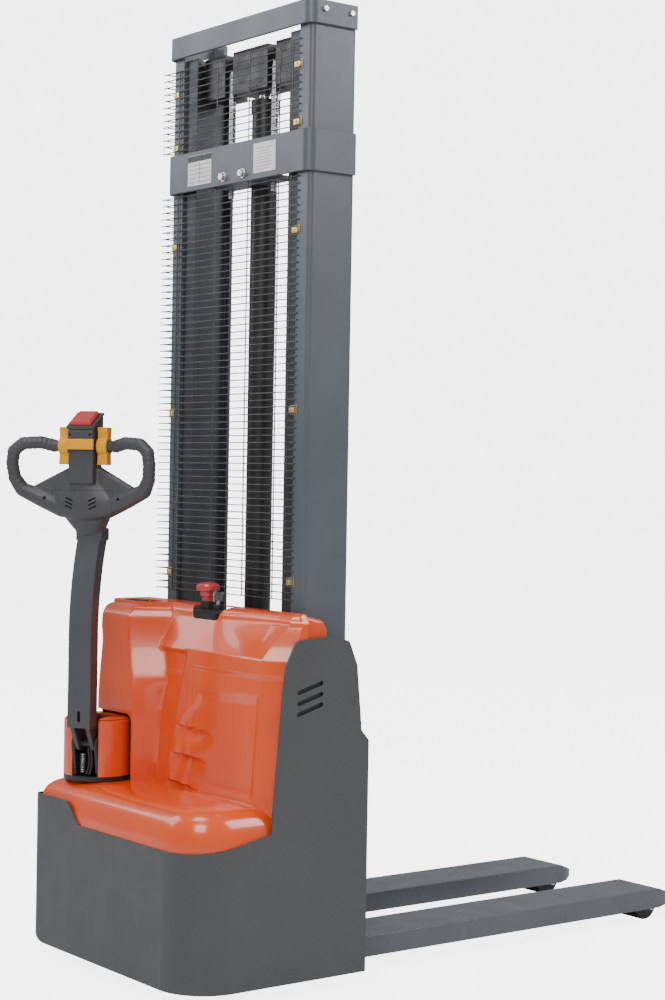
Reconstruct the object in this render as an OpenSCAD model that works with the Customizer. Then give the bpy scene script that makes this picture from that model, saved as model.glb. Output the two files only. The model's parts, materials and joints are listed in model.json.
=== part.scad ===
// Electric walkie stacker: a pedestrian lift truck with a two-stage mast, forks that wrap
// over fixed support legs, and a steered drive unit set to the left of the centre line.
// Millimetres. +Z is up, +X is the truck's right, +Y runs along the forks. The origin is
// on the floor under the middle of the truck. Inside the modules, Y is counted from the
// apron's front face, and the tiller's pieces are drawn in a frame of their own, whose
// -Y points at the person who holds the tiller.

/* [Body] */
// Width over the side plates
body_w = 720; // [710:10:820]
// Length of the side plates, front face to rear edge
body_l = 500; // [490:5:620]
// Gap between the floor and the apron
floor_gap = 30; // [25:1:40]
// Height of the apron's front edge
apron_z = 347; // [330:1:380]
// Thickness of the apron plate
apron_t = 5; // [3:0.5:6]
// Radius of the apron's right front corner
corner_r = 120; // [40:5:130]
// Height of the deck around the tiller
deck_z = 444; // [430:1:520]
// Height of the side panels
panel_z = 830; // [760:5:900]
// Height of the hood at its top
hood_z = 884; // [800:2:960]
// Wall of the deck and hood mouldings
skin_t = 4; // [3:0.5:6]

/* [Drive] */
// Diameter of the drive wheel
drive_d = 200; // [180:5:205]
// Width of the drive wheel
drive_w = 70; // [50:1:75]
// Steering axis, left of the centre line
steer_x = 240; // [200:1:250]
// Steering axis, behind the apron's front face
steer_y = 114; // [113:1:130]
// How far the tiller is turned at rest, towards the right
tiller_turn = 35; // [-90:5:90]
// Diameter of the ring under the tiller's hub
hub_d = 172; // [150:2:180]
// Height of the hub above the deck
hub_h = 156; // [140:2:180]

/* [Tiller] */
// Width of the tiller arm
arm_w = 60; // [50:1:64]
// Depth of the tiller arm
arm_d = 42; // [34:1:46]
// Length of the straight lower part of the arm
arm_straight = 225; // [180:5:280]
// Length of the bent upper part of the arm
arm_bent = 262; // [220:2:320]
// Bend radius of the arm's upper part
arm_bend_r = 680; // [500:10:1200]
// Width over the two grips
grips_w = 396; // [360:2:440]
// Thickness of a grip
grip_d = 32; // [26:1:36]

/* [Caster] */
// Diameter of the stabiliser caster
caster_d = 125; // [100:5:130]
// Width of the stabiliser caster
caster_w = 45; // [30:1:50]
// Trail of the stabiliser caster
caster_trail = 36; // [25:1:38]

/* [Mast] */
// Width over the outer mast channels
mast_w = 600; // [590:5:680]
// Depth of the outer mast channels
mast_d = 133; // [120:1:140]
// Height of the lowered mast
mast_h = 2318; // [1900:10:2900]
// Length of the channel flanges
flange_l = 50; // [44:1:56]
// Thickness of the channel flanges
flange_t = 12; // [9:0.5:13]
// Thickness of the channel webs
web_t = 10; // [7:0.5:12]
// Outer diameter of the lift cylinder
cylinder_d = 65; // [55:1:75]
// Diameter of the piston rod
rod_d = 36; // [28:1:45]
// Height of the cylinder's top when lowered
cylinder_top = 2135; // [1750:5:2700]
// Pitch of the guard's horizontal wires
mesh_pitch = 17; // [12:0.5:30]
// Thickness of the guard's wires
wire_d = 3; // [2:0.5:4]
// Diameter of the chain pulleys
pulley_d = 84; // [60:2:100]

/* [Forks] */
// Width over both forks
fork_spread = 550; // [520:5:570]
// Width of one fork
fork_w = 160; // [150:1:180]
// Length of the forks from the fork face
fork_l = 1150; // [900:10:1300]
// Height of the lowered forks
fork_z = 88; // [85:1:92]
// Depth of a fork's side flanges
fork_depth = 52; // [40:1:54]
// Plate thickness of the forks
fork_t = 6; // [4:0.5:7]
// Diameter of the load wheels
load_d = 80; // [70:1:80]
// Width of the load wheels
load_w = 92; // [60:2:104]

/* [Hidden] */

// Clearances
fit = 0.05;    // a pin or rod in its own bore, each side
gap = 0.5;     // between pieces that move past each other, each side
seat = 0.3;    // between covers and what they stand on
$fn = 64;
hull_fn = 16;

// Colours
orange = "#E8502C";
dark_grey = "#484A4C";
mast_grey = "#545C64";
black = "#1C1D1F";
steel = "#B4B8BC";
yellow = "#F5A200";
red = "#D22634";

// Body
half_w = body_w / 2;
inner_half = half_w - apron_t;
panel_y = 220;              // where the side panels rise from the apron
panel_foot_z = 382;         // height of the apron where a side panel begins
left_step_z = 400;          // height of the apron's raised left end
left_step_x = 205;          // where the raised left end begins to fall
step_run = 75;              // width of the fall
left_corner_r = 24;
bottom_corner_r = 55;       // rounding of the apron's lower left corner
floor_plate_z = 60;
floor_plate_t = 10;
bulkhead_y = steer_y + 108;
bulkhead_t = 8;
mount_z = 262;              // drive mounting plate
mount_t = 12;
hood_front_y = 195;         // foot of the hood's front face
hood_lean = 27;             // how far the front face leans back at its top
hood_face_z = 776;          // top of the hood's front face
hood_band_z = 858;          // top of the sloped band above the front face
hood_band_y = 60;           // run of the sloped band
hood_side_cut = 48;         // corner cut at the hood's front edges
deck_under = 62;            // how far the deck runs back under the hood
// The deck's rolled edge: how far each level is drawn in, and its height
deck_steps = [
  [0, apron_z - 12], [3, deck_z - 62], [20, deck_z - 26], [46, deck_z - 8], [76, deck_z - 1]
];
block_front_y = 150;        // front of the raised block above the hub
block_half_w = 95;
niche_top_z = deck_z + hub_h + 8;

// Mast
mast_y = body_l - 157;
mast_half = mast_w / 2;
mast_back = mast_y + mast_d;
mast_foot_z = 95;
cavity_d = mast_d - 2 * flange_t;
mast_mid_y = mast_y + mast_d / 2;
inner_out = mast_half - web_t - 42;      // outer flange tips of the inner mast
inner_flange_t = flange_t - 2;
inner_d = mast_d - 18;
inner_half_flange = 24;
inner_web_x = inner_out - inner_half_flange;
inner_in = inner_out - 2 * inner_half_flange;
inner_y = mast_mid_y - inner_d / 2;
inner_cavity = inner_d - 2 * inner_flange_t;
inner_foot_z = 112;
inner_top_z = mast_h - 56;
roller_pin_d = 30;
outer_roller_z = mast_h - 93;
inner_roller_z = 222;
beam_t = 8;
beam_y = mast_y - 13;
beam_back = mast_back - 4;
beam_corner = 24;
channel_r = 12;
top_beam_h = 57;
top_beam_z = mast_h + 5 - top_beam_h;
mid_beam_h = 99;
mid_beam_z = mast_h - 397;
mesh_y = beam_y + beam_t + seat;
mesh_left = -mast_half - 30;
mesh_right = mast_half - 40;
mesh_z0 = hood_z + 26;
mesh_z1 = mast_h - 70;
mesh_wires = floor((mesh_z1 - mesh_z0) / mesh_pitch);
mesh_posts = [mesh_left + 66, -90, 50, 178, mesh_right - 30];
clip_z = [for (share = [0.03, 0.34, 0.66, 0.85, 0.955])
  mesh_z0 + (floor(share * mesh_wires) + 0.5) * mesh_pitch];
clip_screw_x = [-mast_half + 23, mesh_right - 11];

// Lift cylinder and chains
cylinder_y = mast_mid_y + 13;
cylinder_foot_z = 120;
cylinder_wall = 6;
cross_z0 = cylinder_top + 18;
cross_h = 106;
pulley_x = 92;
pulley_w = 26;
pulley_y = mast_mid_y + 26;
pulley_z = cross_z0 + 62;
pulley_pin_d = 25;
chain_w = 19;
chain_t = 10;
chain_r = pulley_d / 2 + 1 + chain_t / 2;
carriage_chain_z = 452;

// Forks, legs and carriage
fork_x = (fork_spread - fork_w) / 2;
carriage_back = mast_back + 14;
bar_t = 15;
fork_face = carriage_back + 2 * bar_t;
tip_y = fork_face + fork_l;
toe_l = 75;
toe_drop = 26;
leg_gap = 4;
leg_w = fork_w - 2 * fork_t - 2 * leg_gap;
leg_t = 6;
leg_z0 = fork_z - fork_depth;
leg_z1 = load_d - 4;
leg_y0 = mast_back + 14;
load_y = tip_y - 96;
load_pin_d = 20;
leg_end = load_y + 24;
pocket_end = load_y + load_d / 2 + 8;
plate_in = inner_in - 22;                // inner face of the carriage's side plates
plate_t = 12;
carriage_z0 = 100;
carriage_z1 = 470;
lower_roller_z = 152;
upper_roller_z = 424;
roller_w = 20;
shank_z = 440;

// Drive unit and hub, in the tiller's frame
drive_top = drive_d + 8;
neck_d = 140;
motor_d = 126;
arm_front = 120;                          // arm's front face, ahead of the steering axis
arm_t = 4;
pivot_r = 66;                             // tilt axis ahead of the steering axis
pivot_z = deck_z + 92;
pivot_d = 16;
slot_half = arm_w / 2 + 5;
arm_z0 = deck_z + 136;
hub_z0 = deck_z + seat;
ring_h = 12;
shell_z0 = hub_z0 + ring_h;
shell_z1 = deck_z + hub_h;
arm_z1 = arm_z0 + arm_straight;
arm_sweep = arm_bent * 180 / PI / arm_bend_r;
arm_top_z = arm_z1 + arm_bend_r * sin(arm_sweep);
arm_top_r = arm_front - arm_bend_r * (1 - cos(arm_sweep));

// Tiller head, heights counted from the arm's top
grip_r = grip_d / 2;
grip_x = grips_w / 2 - grip_r;
bar_r = 104;                              // axis of the upper grip bars, ahead of the axis
bar_h = arm_top_z + 208;
bar_half = 74;
neck_half = 33;
neck_depth = 56;
head_top = arm_top_z + 286;
face_tilt = 30;
button_travel = 5;
cover_half = 80;
cover_h = 100;
wing_in = 38;
wing_out = 64;
wing_reach = 46;
rocker_h = 26;
rocker_z = bar_h + 4;
rocker_swing = 6;
function grip_path() = [
  [bar_half + 8, -bar_r, bar_h], [112, -bar_r - 14, bar_h + 8], [156, -bar_r - 25, bar_h + 5],
  [grip_x - 4, -bar_r - 30, bar_h - 14], [grip_x, -bar_r - 29, bar_h - 45],
  [grip_x - 4, -bar_r - 22, bar_h - 80], [grip_x - 20, -bar_r - 12, bar_h - 108],
  [grip_x - 52, -bar_r, bar_h - 130], [96, -bar_r + 14, bar_h - 148]
];

// Caster
caster_x = half_w - 120;
caster_y = steer_y;
caster_plate_z = caster_d + 50;
caster_leg = caster_w / 2 + 4;
caster_pin_d = 12;

// Stop switch, key and knobs
panel_x = 20;
panel_mid_y = 285;
panel_top = hood_z - 8;
stop_x = -16;
key_x = 30;
tray_x = -232;
tray_y = 236;
tray_z = hood_z - 44;
knob_d = 36;

// Where the truck's middle lies, from the tiller's foremost point to the fork tips
function turned_y(x, y) = steer_y + x * sin(tiller_turn) + y * cos(tiller_turn);
front_y = min([for (p = grip_path(), s = [-1, 1]) turned_y(s * p[0], p[1])]) - grip_r;
mid_y = (front_y + tip_y) / 2;

// ---- Helpers ----

module machine() {
  translate([0, -mid_y, 0]) children();
}

module tiller_frame() {
  machine() translate([-steer_x, steer_y, 0]) rotate([0, 0, tiller_turn]) children();
}

module block(x0, x1, y0, y1, z0, z1) {
  translate([x0, y0, z0]) cube([x1 - x0, y1 - y0, z1 - z0]);
}

module both_sides() {
  children();
  mirror([1, 0, 0]) children();
}

module on_side(s) {
  if (s < 0) mirror([1, 0, 0]) children();
  else children();
}

// A cylinder along X from x0 to x1
module bar_x(x0, x1, y, z, d) {
  translate([x0, y, z]) rotate([0, 90, 0]) cylinder(h = x1 - x0, d = d);
}

module post(x, y, z0, z1, d) {
  translate([x, y, z0]) cylinder(h = z1 - z0, d = d);
}

// A prism along X from a polygon of [y, z] points
module prism_x(x0, x1, pts) {
  translate([x0, 0, 0]) rotate([90, 0, 90]) linear_extrude(x1 - x0) polygon(pts);
}

// A prism along Y from a polygon of [x, z] points
module prism_y(y0, y1, pts) {
  translate([0, y1, 0]) rotate([90, 0, 0]) linear_extrude(y1 - y0) polygon(pts);
}

// A tube along X
module ring_x(x0, x1, y, z, d, bore) {
  difference() {
    bar_x(x0, x1, y, z, d);
    bar_x(x0 - 1, x1 + 1, y, z, bore);
  }
}

// ---- Chassis ----

module chassis_frame() {
  color(dark_grey) machine() {
    difference() {
      union() {
        block(-inner_half, inner_half, bulkhead_y, mast_back + 2,
              floor_plate_z, floor_plate_z + floor_plate_t);
        block(-inner_half, inner_half, bulkhead_y, bulkhead_y + bulkhead_t,
              floor_plate_z, mount_z);
        block(-inner_half, inner_half, mast_back + 2, leg_y0, leg_z0, fork_z - 4);
        both_sides() mast_foot();
        block(-45, 45, cylinder_y - 38, mast_back + 2, floor_plate_z, cylinder_foot_z);
      }
      both_sides() block(80, 300, bulkhead_y + 30, mast_y - 40, 0, floor_plate_z + 20);
    }
  }
}

// Foot that carries one outer channel, and the web that ties it to the side plate
module mast_foot() {
  block(mast_half - flange_l - 20, inner_half, mast_y - 12, mast_back + 2,
        floor_plate_z, mast_foot_z);
  block(mast_half, inner_half, mast_mid_y - 6, mast_mid_y + 6, mast_foot_z, panel_z - 60);
}

module drive_mount() {
  color(dark_grey) machine() {
    difference() {
      block(-inner_half, inner_half, apron_t, bulkhead_y + bulkhead_t, mount_z, mount_z + mount_t);
      post(-steer_x, steer_y, mount_z - 1, mount_z + mount_t + 1, neck_d + 2 * gap);
      corner_waste(mount_z - 1, mount_z + mount_t + 1, corner_r - apron_t, half_w - corner_r);
      mirror([1, 0, 0]) corner_waste(mount_z - 1, mount_z + mount_t + 1,
                                     left_corner_r - apron_t, half_w - left_corner_r);
    }
    difference() {
      block(caster_x - 55, caster_x + 55, caster_y - 55, caster_y + 55, caster_plate_z + 8, mount_z);
      block(caster_x - 47, caster_x + 47, caster_y - 47, caster_y + 47, caster_plate_z, mount_z - 8);
    }
  }
}

// What lies outside a rounded plan corner of radius r centred at [cx, r]
module corner_waste(z0, z1, r, cx) {
  difference() {
    block(cx, cx + r + 1, apron_t - 1, apron_t + r, z0, z1);
    post(cx, apron_t + r, z0 - 1, z1 + 1, 2 * r - gap);
  }
}

module body_apron() {
  color(dark_grey) machine() {
    intersection() {
      apron_ring();
      union() {
        prism_x(step_run - left_step_x, half_w + 1, panel_outline(apron_z));
        prism_x(-half_w - 1, -left_step_x, panel_outline(left_step_z));
        prism_y(-1, apron_t + 1, step_outline());
      }
      apron_bottom();
    }
  }
}

// The apron's full-height wall: front, two sides and their corners
module apron_ring() {
  h = panel_z - floor_gap;
  translate([0, 0, floor_gap]) {
    block(left_corner_r - half_w, half_w - corner_r, 0, apron_t, 0, h);
    block(half_w - apron_t, half_w, corner_r, body_l, 0, h);
    block(-half_w, apron_t - half_w, left_corner_r, body_l, 0, h);
    wall_corner(half_w - corner_r, corner_r, h);
    mirror([1, 0, 0]) wall_corner(half_w - left_corner_r, left_corner_r, h);
  }
}

module wall_corner(cx, r, h) {
  intersection() {
    difference() {
      post(cx, r, 0, h, 2 * r);
      post(cx, r, -1, h + 1, 2 * (r - apron_t));
    }
    block(cx, cx + r + 1, -1, r, -1, h + 1);
  }
}

// Side view of the apron with its side panel, as [y, z]
function panel_outline(front_z) = concat(
  [[-1, 0], [body_l + 1, 0], [body_l + 1, panel_z - 250]],
  [[body_l - 8, panel_z - 240], [body_l - 22, panel_z - 225]],
  [[body_l - 38, panel_z - 69], [body_l - 62, panel_z - 13]],
  [[body_l - 90, panel_z - 3], [body_l - 133, panel_z]],
  [[body_l - 205, panel_z - 6], [body_l - 219, panel_z - 10]],
  [[panel_y + 34, panel_z - 66], [panel_y + 26, panel_z - 130]],
  [[panel_y, max(panel_foot_z, front_z)]],
  [for (i = [1:6]) [panel_y * (1 - i / 6) - 1,
                    front_z + (max(panel_foot_z, front_z) - front_z) * pow(1 - i / 6, 1.6)]]
);

// Front view of the fall from the raised left end, as [x, z]
function step_outline() = concat(
  [[-left_step_x - 1, 0], [-left_step_x - 1, left_step_z]],
  [for (i = [0:10]) [step_run * i / 10 - left_step_x,
                     apron_z + (left_step_z - apron_z) * (1 + cos(18 * i)) / 2]],
  [[step_run - left_step_x + 1, apron_z], [step_run - left_step_x + 1, 0]]
);

module apron_bottom() {
  r = bottom_corner_r;
  prism_y(-1, body_l + 1, concat(
    [[half_w + 1, panel_z + 1], [half_w + 1, floor_gap - 1]],
    [for (a = [270:-10:180]) [-half_w + r + r * cos(a), floor_gap + r + r * sin(a)]],
    [[-half_w - 0.01, panel_z + 1]]
  ));
}

// ---- Covers ----

// Plan of the deck, drawn in from the apron's outer face by d
module deck_plan(d) {
  r = max(corner_r - d, 2);
  lr = max(left_corner_r - d, 2);
  lc = max(left_corner_r, d + 2);
  hull() {
    translate([half_w - corner_r, corner_r]) circle(r, $fn = 48);
    translate([lc - half_w, lc]) circle(lr, $fn = 24);
    translate([d - half_w, hood_front_y - 1]) square([body_w - 2 * d, deck_under + 5]);
  }
}

module deck_solid(d, drop) {
  hull() for (step = deck_steps) {
    translate([0, 0, step[1] - (step[0] > 0 ? drop : 0)])
      linear_extrude(1) deck_plan(apron_t + seat + d + step[0]);
  }
}

// Section of the deck where it runs back under the hood, as [x, z]
function deck_section() = concat(
  [[-half_w, 0]], [for (step = deck_steps) [step[0] - inner_half, step[1] + 1 + seat]],
  [for (i = [4:-1:0]) [inner_half - deck_steps[i][0], deck_steps[i][1] + 1 + seat]],
  [[half_w, 0]]
);

module deck_cover() {
  color(orange) machine() difference() {
    deck_solid(0, 0);
    translate([0, 0, -0.01]) deck_solid(skin_t, skin_t);
    post(-steer_x, steer_y, deck_z - 60, deck_z + 10, neck_d);
    block(-half_w, half_w, hood_front_y + deck_under, hood_front_y + deck_under + 5, 0, deck_z + 10);
  }
}

// Plan of the hood's main body: front face at y, corners cut, drawn in by d
module hood_plan(y, d, cut) {
  polygon([
    [-half_w + apron_t + seat + d, mast_y - 22], [-half_w + apron_t + seat + d, y + d + cut],
    [-half_w + apron_t + seat + d + cut, y + d], [half_w - apron_t - seat - d - cut, y + d],
    [half_w - apron_t - seat - d, y + d + cut], [half_w - apron_t - seat - d, mast_y - 22]
  ]);
}

module hood_layer(z, y, d, cut) {
  translate([0, 0, z]) linear_extrude(1) hood_plan(y, d, cut);
}

module hood_solid(d) {
  hull() {
    hood_layer(panel_foot_z - 1, hood_front_y, d, hood_side_cut);
    hood_layer(hood_face_z, hood_front_y + hood_lean, d, hood_side_cut);
    hood_layer(hood_band_z - d, hood_front_y + hood_lean + hood_band_y, d, 30);
    hood_layer(hood_z - 1 - d, hood_front_y + hood_lean + hood_band_y + 22, d + 12, 16);
  }
}

// The raised block over the hub, drawn in by d
module hood_block(d) {
  x = -steer_x + 4;
  hull() {
    block(x - block_half_w + d, x + block_half_w - d, block_front_y + d, 240,
          niche_top_z - 50, hood_face_z - 60);
    block(x - block_half_w + d, x + block_half_w - 20 - d, block_front_y + 12 + d, 240,
          hood_face_z - 20 - d, hood_band_z - 12 - d);
    block(x - block_half_w + d, x + block_half_w - 40 - d, 196 + d, 280,
          hood_z - 26 - d, hood_z - 8 - d);
  }
}

module hood_shoulder(d) {
  block(mast_half + 6 + d, inner_half - seat - d, mast_y - 40, mast_back - 10,
        panel_z - 60, hood_z - 14 - d);
}

module hood() {
  color(orange) machine() difference() {
    union() {
      hood_solid(0);
      hood_block(0);
      both_sides() hood_shoulder(0);
    }
    difference() {
      union() {
        hood_solid(skin_t);
        hood_block(skin_t);
      }
      block(-half_w, half_w, mast_y - 22 - skin_t, mast_y, 0, hood_z);
      tray_pocket(skin_t, hood_z + 1);
    }
    both_sides() hood_shoulder_hollow();
    hub_niche();
    panel_pocket();
    tray_pocket(0, hood_z + 1);
    prism_y(0, hood_front_y + deck_under + seat, deck_section());
    block(-half_w, half_w, 0, body_l, 0, panel_foot_z + 3);
  }
}

module hood_shoulder_hollow() {
  block(mast_half + 6 + skin_t, inner_half - seat - skin_t, mast_y - 41, mast_back - 10 - skin_t,
        panel_z - 61, hood_z - 14 - skin_t);
}

// Space for the hub and the foot of the arm, through the hood's front wall
module hub_niche() {
  r = hub_d / 2 + 8;
  block(-steer_x - r - 6, -steer_x + r, 0, steer_y + r, deck_z - 20, niche_top_z);
}

module panel_pocket() {
  hull() {
    post(panel_x - 42, panel_mid_y, panel_top - 30, hood_z + 1, 64, $fn = 48);
    post(panel_x + 42, panel_mid_y, panel_top - 30, hood_z + 1, 64, $fn = 48);
  }
}

// The tray beside the tiller, grown by d for its walls
module tray_pocket(d, top) {
  block(tray_x - 70 - d, tray_x + 60 + d, tray_y - 34 - d, tray_y + 34 + d, tray_z - d, top);
}

// ---- Units inside the body ----

module battery() {
  color(black) machine() {
    block(-300, 300, hood_front_y + 36, mast_y - 34, deck_z + 8, deck_z + 280);
    both_sides() block(60, 110, hood_front_y + 50, mast_y - 60, deck_z + 280, deck_z + 296);
    both_sides() block(-300, -270, hood_front_y + deck_under + 2, mast_y - 44,
                       floor_plate_z + floor_plate_t, deck_z + 8);
  }
}

module hydraulic_pack() {
  z = mount_z + mount_t;
  color(steel) machine() {
    bar_x(30, 190, steer_y + 10, z + 56, 104);
    block(30, 180, steer_y - 20, steer_y + 40, z, z + 20);
  }
  color(black) machine() {
    block(190, 232, steer_y - 30, steer_y + 50, z, z + 100);
    block(232, 334, steer_y - 36, steer_y + 76, z, z + 88);
  }
}

module controller() {
  z = mount_z + mount_t;
  color(black) machine() {
    block(-130, 0, bulkhead_y + bulkhead_t + seat, bulkhead_y + 80, z - 110, z + 70);
    for (i = [0:4]) {
      translate([-122 + i * 27, bulkhead_y + 80, z - 100]) cube([6, 12, 150]);
    }
  }
}

module charger() {
  y0 = bulkhead_y + bulkhead_t;
  z0 = floor_plate_z + floor_plate_t;
  color(steel) machine() {
    block(40, 250, y0, y0 + 86, z0 + 6, z0 + 120);
    for (x = [40, 230]) block(x, x + 20, y0, y0 + 86, z0, z0 + 6);
  }
}

// ---- Mast ----

// Plan of a channel whose web is outside: outer face at x, depth d from y
module channel_plan(x, y, d) {
  r = channel_r;
  difference() {
    union() {
      translate([x - flange_l, y]) square([flange_l - r, d]);
      translate([x - flange_l, y + r]) square([flange_l, d - 2 * r]);
      for (cy = [y + r, y + d - r]) translate([x - r, cy]) circle(r);
    }
    translate([x - flange_l - 1, y + flange_t]) square([flange_l + 1 - web_t, d - 2 * flange_t]);
  }
}

module outer_channel(s) {
  color(mast_grey) machine() on_side(s) {
    translate([0, 0, mast_foot_z]) linear_extrude(mast_h - mast_foot_z)
      channel_plan(mast_half, mast_y, mast_d);
    bar_x(inner_web_x + web_t / 2 + 3, mast_half - 1, mast_mid_y, outer_roller_z, roller_pin_d);
  }
}

module outer_channel_left() { outer_channel(-1); }

module outer_channel_right() { outer_channel(1); }

// A flat bar bent round the front of the mast and along both channels
module wrap_beam(z, h) {
  x = mast_half + beam_t;
  difference() {
    union() {
      block(-x + beam_corner, x - beam_corner, beam_y, beam_back, z, z + h);
      block(-x, x, beam_y + beam_corner, beam_back, z, z + h);
      both_sides() post(x - beam_corner, beam_y + beam_corner, z, z + h, 2 * beam_corner);
    }
    block(-mast_half, mast_half, beam_y + beam_corner, beam_back + 1, z - 1, z + h + 1);
    block(-x + beam_corner, x - beam_corner, beam_y + beam_t, beam_back + 1, z - 1, z + h + 1);
    both_sides() post(x - beam_corner, beam_y + beam_corner, z - 1, z + h + 1,
                      2 * (beam_corner - beam_t));
  }
}

module mast_top_beam() {
  color(mast_grey) machine() wrap_beam(top_beam_z, top_beam_h);
}

module mesh_outline(d) {
  for (i = [0:mesh_wires]) {
    z = mesh_z0 + i * mesh_pitch;
    hidden = z > mid_beam_z - 6 && z < mid_beam_z + mid_beam_h + 6;
    x0 = hidden ? mesh_posts[0] - 4 : mesh_left;
    translate([x0 - d, z - wire_d / 2 - d]) square([mesh_right - x0 + 2 * d, wire_d + 2 * d]);
  }
  for (x = mesh_posts) {
    translate([x - wire_d / 2 - d, mesh_z0 - d])
      square([wire_d + 2 * d, mesh_wires * mesh_pitch + 2 * d]);
  }
}

// The middle beam also carries the ledge that the lift chains are anchored to
module mast_mid_beam() {
  color(mast_grey) machine() {
    wrap_beam(mid_beam_z, mid_beam_h);
    difference() {
      block(-pulley_x - 30, pulley_x + 30, beam_y + beam_t - 2, mast_mid_y + 4,
            mid_beam_z, mid_beam_z + 14);
      post(0, cylinder_y, mid_beam_z - 1, mid_beam_z + 15, cylinder_d + 4);
      translate([0, mesh_y + wire_d + seat, 0]) rotate([90, 0, 0])
        linear_extrude(wire_d + 2 * seat) mesh_outline(seat);
    }
  }
}

module mesh_guard() {
  color(steel) machine() translate([0, mesh_y + wire_d, 0]) rotate([90, 0, 0])
    linear_extrude(wire_d) mesh_outline(0);
}

module mesh_clips() {
  y = mesh_y + wire_d;
  color(yellow) machine() for (z = clip_z, x = clip_screw_x) {
    block(x - 15, x + 15, y, mast_y, z - 12, z + 12);
  }
}

// Screws of the guard's clips, and the bolts of the two wrapped beams
module mast_screws() {
  color(black) machine() {
    for (z = clip_z, x = clip_screw_x) {
      translate([x, mesh_y + wire_d, z]) rotate([90, 0, 0]) cylinder(h = 6, d = 10);
    }
    both_sides() for (y = [mast_mid_y - 36, mast_back - 24]) {
      bar_x(mast_half + beam_t, mast_half + beam_t + 6, y, top_beam_z + 36, 15);
    }
    both_sides() translate([42, beam_y, mid_beam_z + 20]) rotate([90, 0, 0]) {
      cylinder(h = 3, d = 24);
      cylinder(h = 10, d = 17, $fn = 6);
    }
  }
}

module data_plates() {
  color(steel) machine() {
    block(-204, -98, beam_y - 1.2, beam_y, mid_beam_z + 12, mid_beam_z + 88);
    block(86, 178, beam_y - 1.2, beam_y, mid_beam_z + 14, mid_beam_z + 86);
  }
}

module cylinder_barrel() {
  color(black) machine() translate([0, cylinder_y, 0]) difference() {
    union() {
      translate([0, 0, cylinder_foot_z]) cylinder(h = cylinder_top - cylinder_foot_z, d = cylinder_d);
      translate([0, 0, cylinder_top - 34]) cylinder(h = 34, d = cylinder_d + 5);
    }
    translate([0, 0, cylinder_foot_z + 25])
      cylinder(h = cylinder_top - cylinder_foot_z - 60, d = cylinder_d - 2 * cylinder_wall);
    translate([0, 0, cylinder_top - 60]) cylinder(h = 61, d = rod_d + 2 * fit);
  }
}

module chain_anchors() {
  y = pulley_y - chain_r;
  color(steel) machine() both_sides() {
    block(pulley_x - 13, pulley_x + 13, y - 11, y + 11, mid_beam_z + 14, mid_beam_z + 52);
    post(pulley_x, y, mid_beam_z - 24, mid_beam_z, 14);
  }
}

module chain_fixed_strands() {
  y = pulley_y - chain_r;
  color(steel) machine() both_sides() {
    block(pulley_x - chain_w / 2, pulley_x + chain_w / 2, y - chain_t / 2, y + chain_t / 2,
          mid_beam_z + 52, pulley_z);
  }
}

// Plan of the inner mast's I-shaped section
module inner_plan() {
  difference() {
    translate([inner_in, inner_y]) square([2 * inner_half_flange, inner_d]);
    translate([inner_in - 1, inner_y + inner_flange_t])
      square([inner_half_flange + 1 - web_t / 2, inner_cavity]);
    translate([inner_web_x + web_t / 2, inner_y + inner_flange_t])
      square([inner_half_flange + 1, inner_cavity]);
  }
}

module inner_channel(s) {
  color(mast_grey) machine() on_side(s) {
    translate([0, 0, inner_foot_z]) linear_extrude(inner_top_z - inner_foot_z) inner_plan();
    bar_x(inner_web_x, mast_half - web_t - 3, mast_mid_y, inner_roller_z, roller_pin_d);
  }
}

module inner_channel_left() { inner_channel(-1); }

module inner_channel_right() { inner_channel(1); }

// Crosshead that the piston rod pushes, with slots and a pin for the chain pulleys
module inner_top_beam() {
  y0 = inner_y + 22;
  color(black) machine() {
    difference() {
      block(-inner_in, inner_in, y0, inner_y + inner_d - 22, cross_z0, cross_z0 + cross_h);
      both_sides() block(pulley_x - 17, pulley_x + 17, y0 - 1, inner_y + inner_d,
                         cross_z0 - 1, cross_z0 + cross_h + 1);
      block(-60, 60, y0 + 14, inner_y + inner_d - 36, cross_z0 + 20, cross_z0 + cross_h + 1);
    }
    both_sides() bar_x(pulley_x - 20, pulley_x + 20, pulley_y, pulley_z, pulley_pin_d);
    both_sides() crosshead_ear(pulley_x - 27);
    both_sides() crosshead_ear(pulley_x + 17);
  }
}

module crosshead_ear(x) {
  y = inner_y + inner_d - 22;
  block(x, x + 10, y - 4, pulley_y + 20, pulley_z - 22, pulley_z + 22);
}

module inner_foot_beam() {
  color(mast_grey) machine()
    block(-inner_in, inner_in, inner_y, inner_y + inner_flange_t, inner_foot_z + 8, inner_foot_z + 78);
}

module cylinder_rod() {
  color(steel) machine() translate([0, cylinder_y, 0]) {
    translate([0, 0, cylinder_foot_z + 200]) cylinder(h = cross_z0 - cylinder_foot_z - 200, d = rod_d);
    translate([0, 0, cylinder_foot_z + 200])
      cylinder(h = 40, d = cylinder_d - 2 * cylinder_wall - 2 * seat);
  }
}

module chain_pulleys() {
  color(black) machine() both_sides() difference() {
    union() {
      bar_x(pulley_x - pulley_w / 2, pulley_x + pulley_w / 2, pulley_y, pulley_z, pulley_d);
      bar_x(pulley_x - pulley_w / 2, pulley_x - chain_w / 2 - 0.6, pulley_y, pulley_z, pulley_d + 16);
      bar_x(pulley_x + chain_w / 2 + 0.6, pulley_x + pulley_w / 2, pulley_y, pulley_z, pulley_d + 16);
    }
    bar_x(pulley_x - 20, pulley_x + 20, pulley_y, pulley_z, pulley_pin_d + 2 * fit);
  }
}

// A pair of mast rollers on pins that share one axis
module roller_pair(x0, x1, z, d) {
  color(steel) machine() both_sides() ring_x(x0, x1, mast_mid_y, z, d, roller_pin_d + 2 * fit);
}

module outer_rollers() {
  roller_pair(inner_web_x + web_t / 2 + 4, mast_half - web_t - 4, outer_roller_z,
              inner_cavity - 2 * gap);
}

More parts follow.
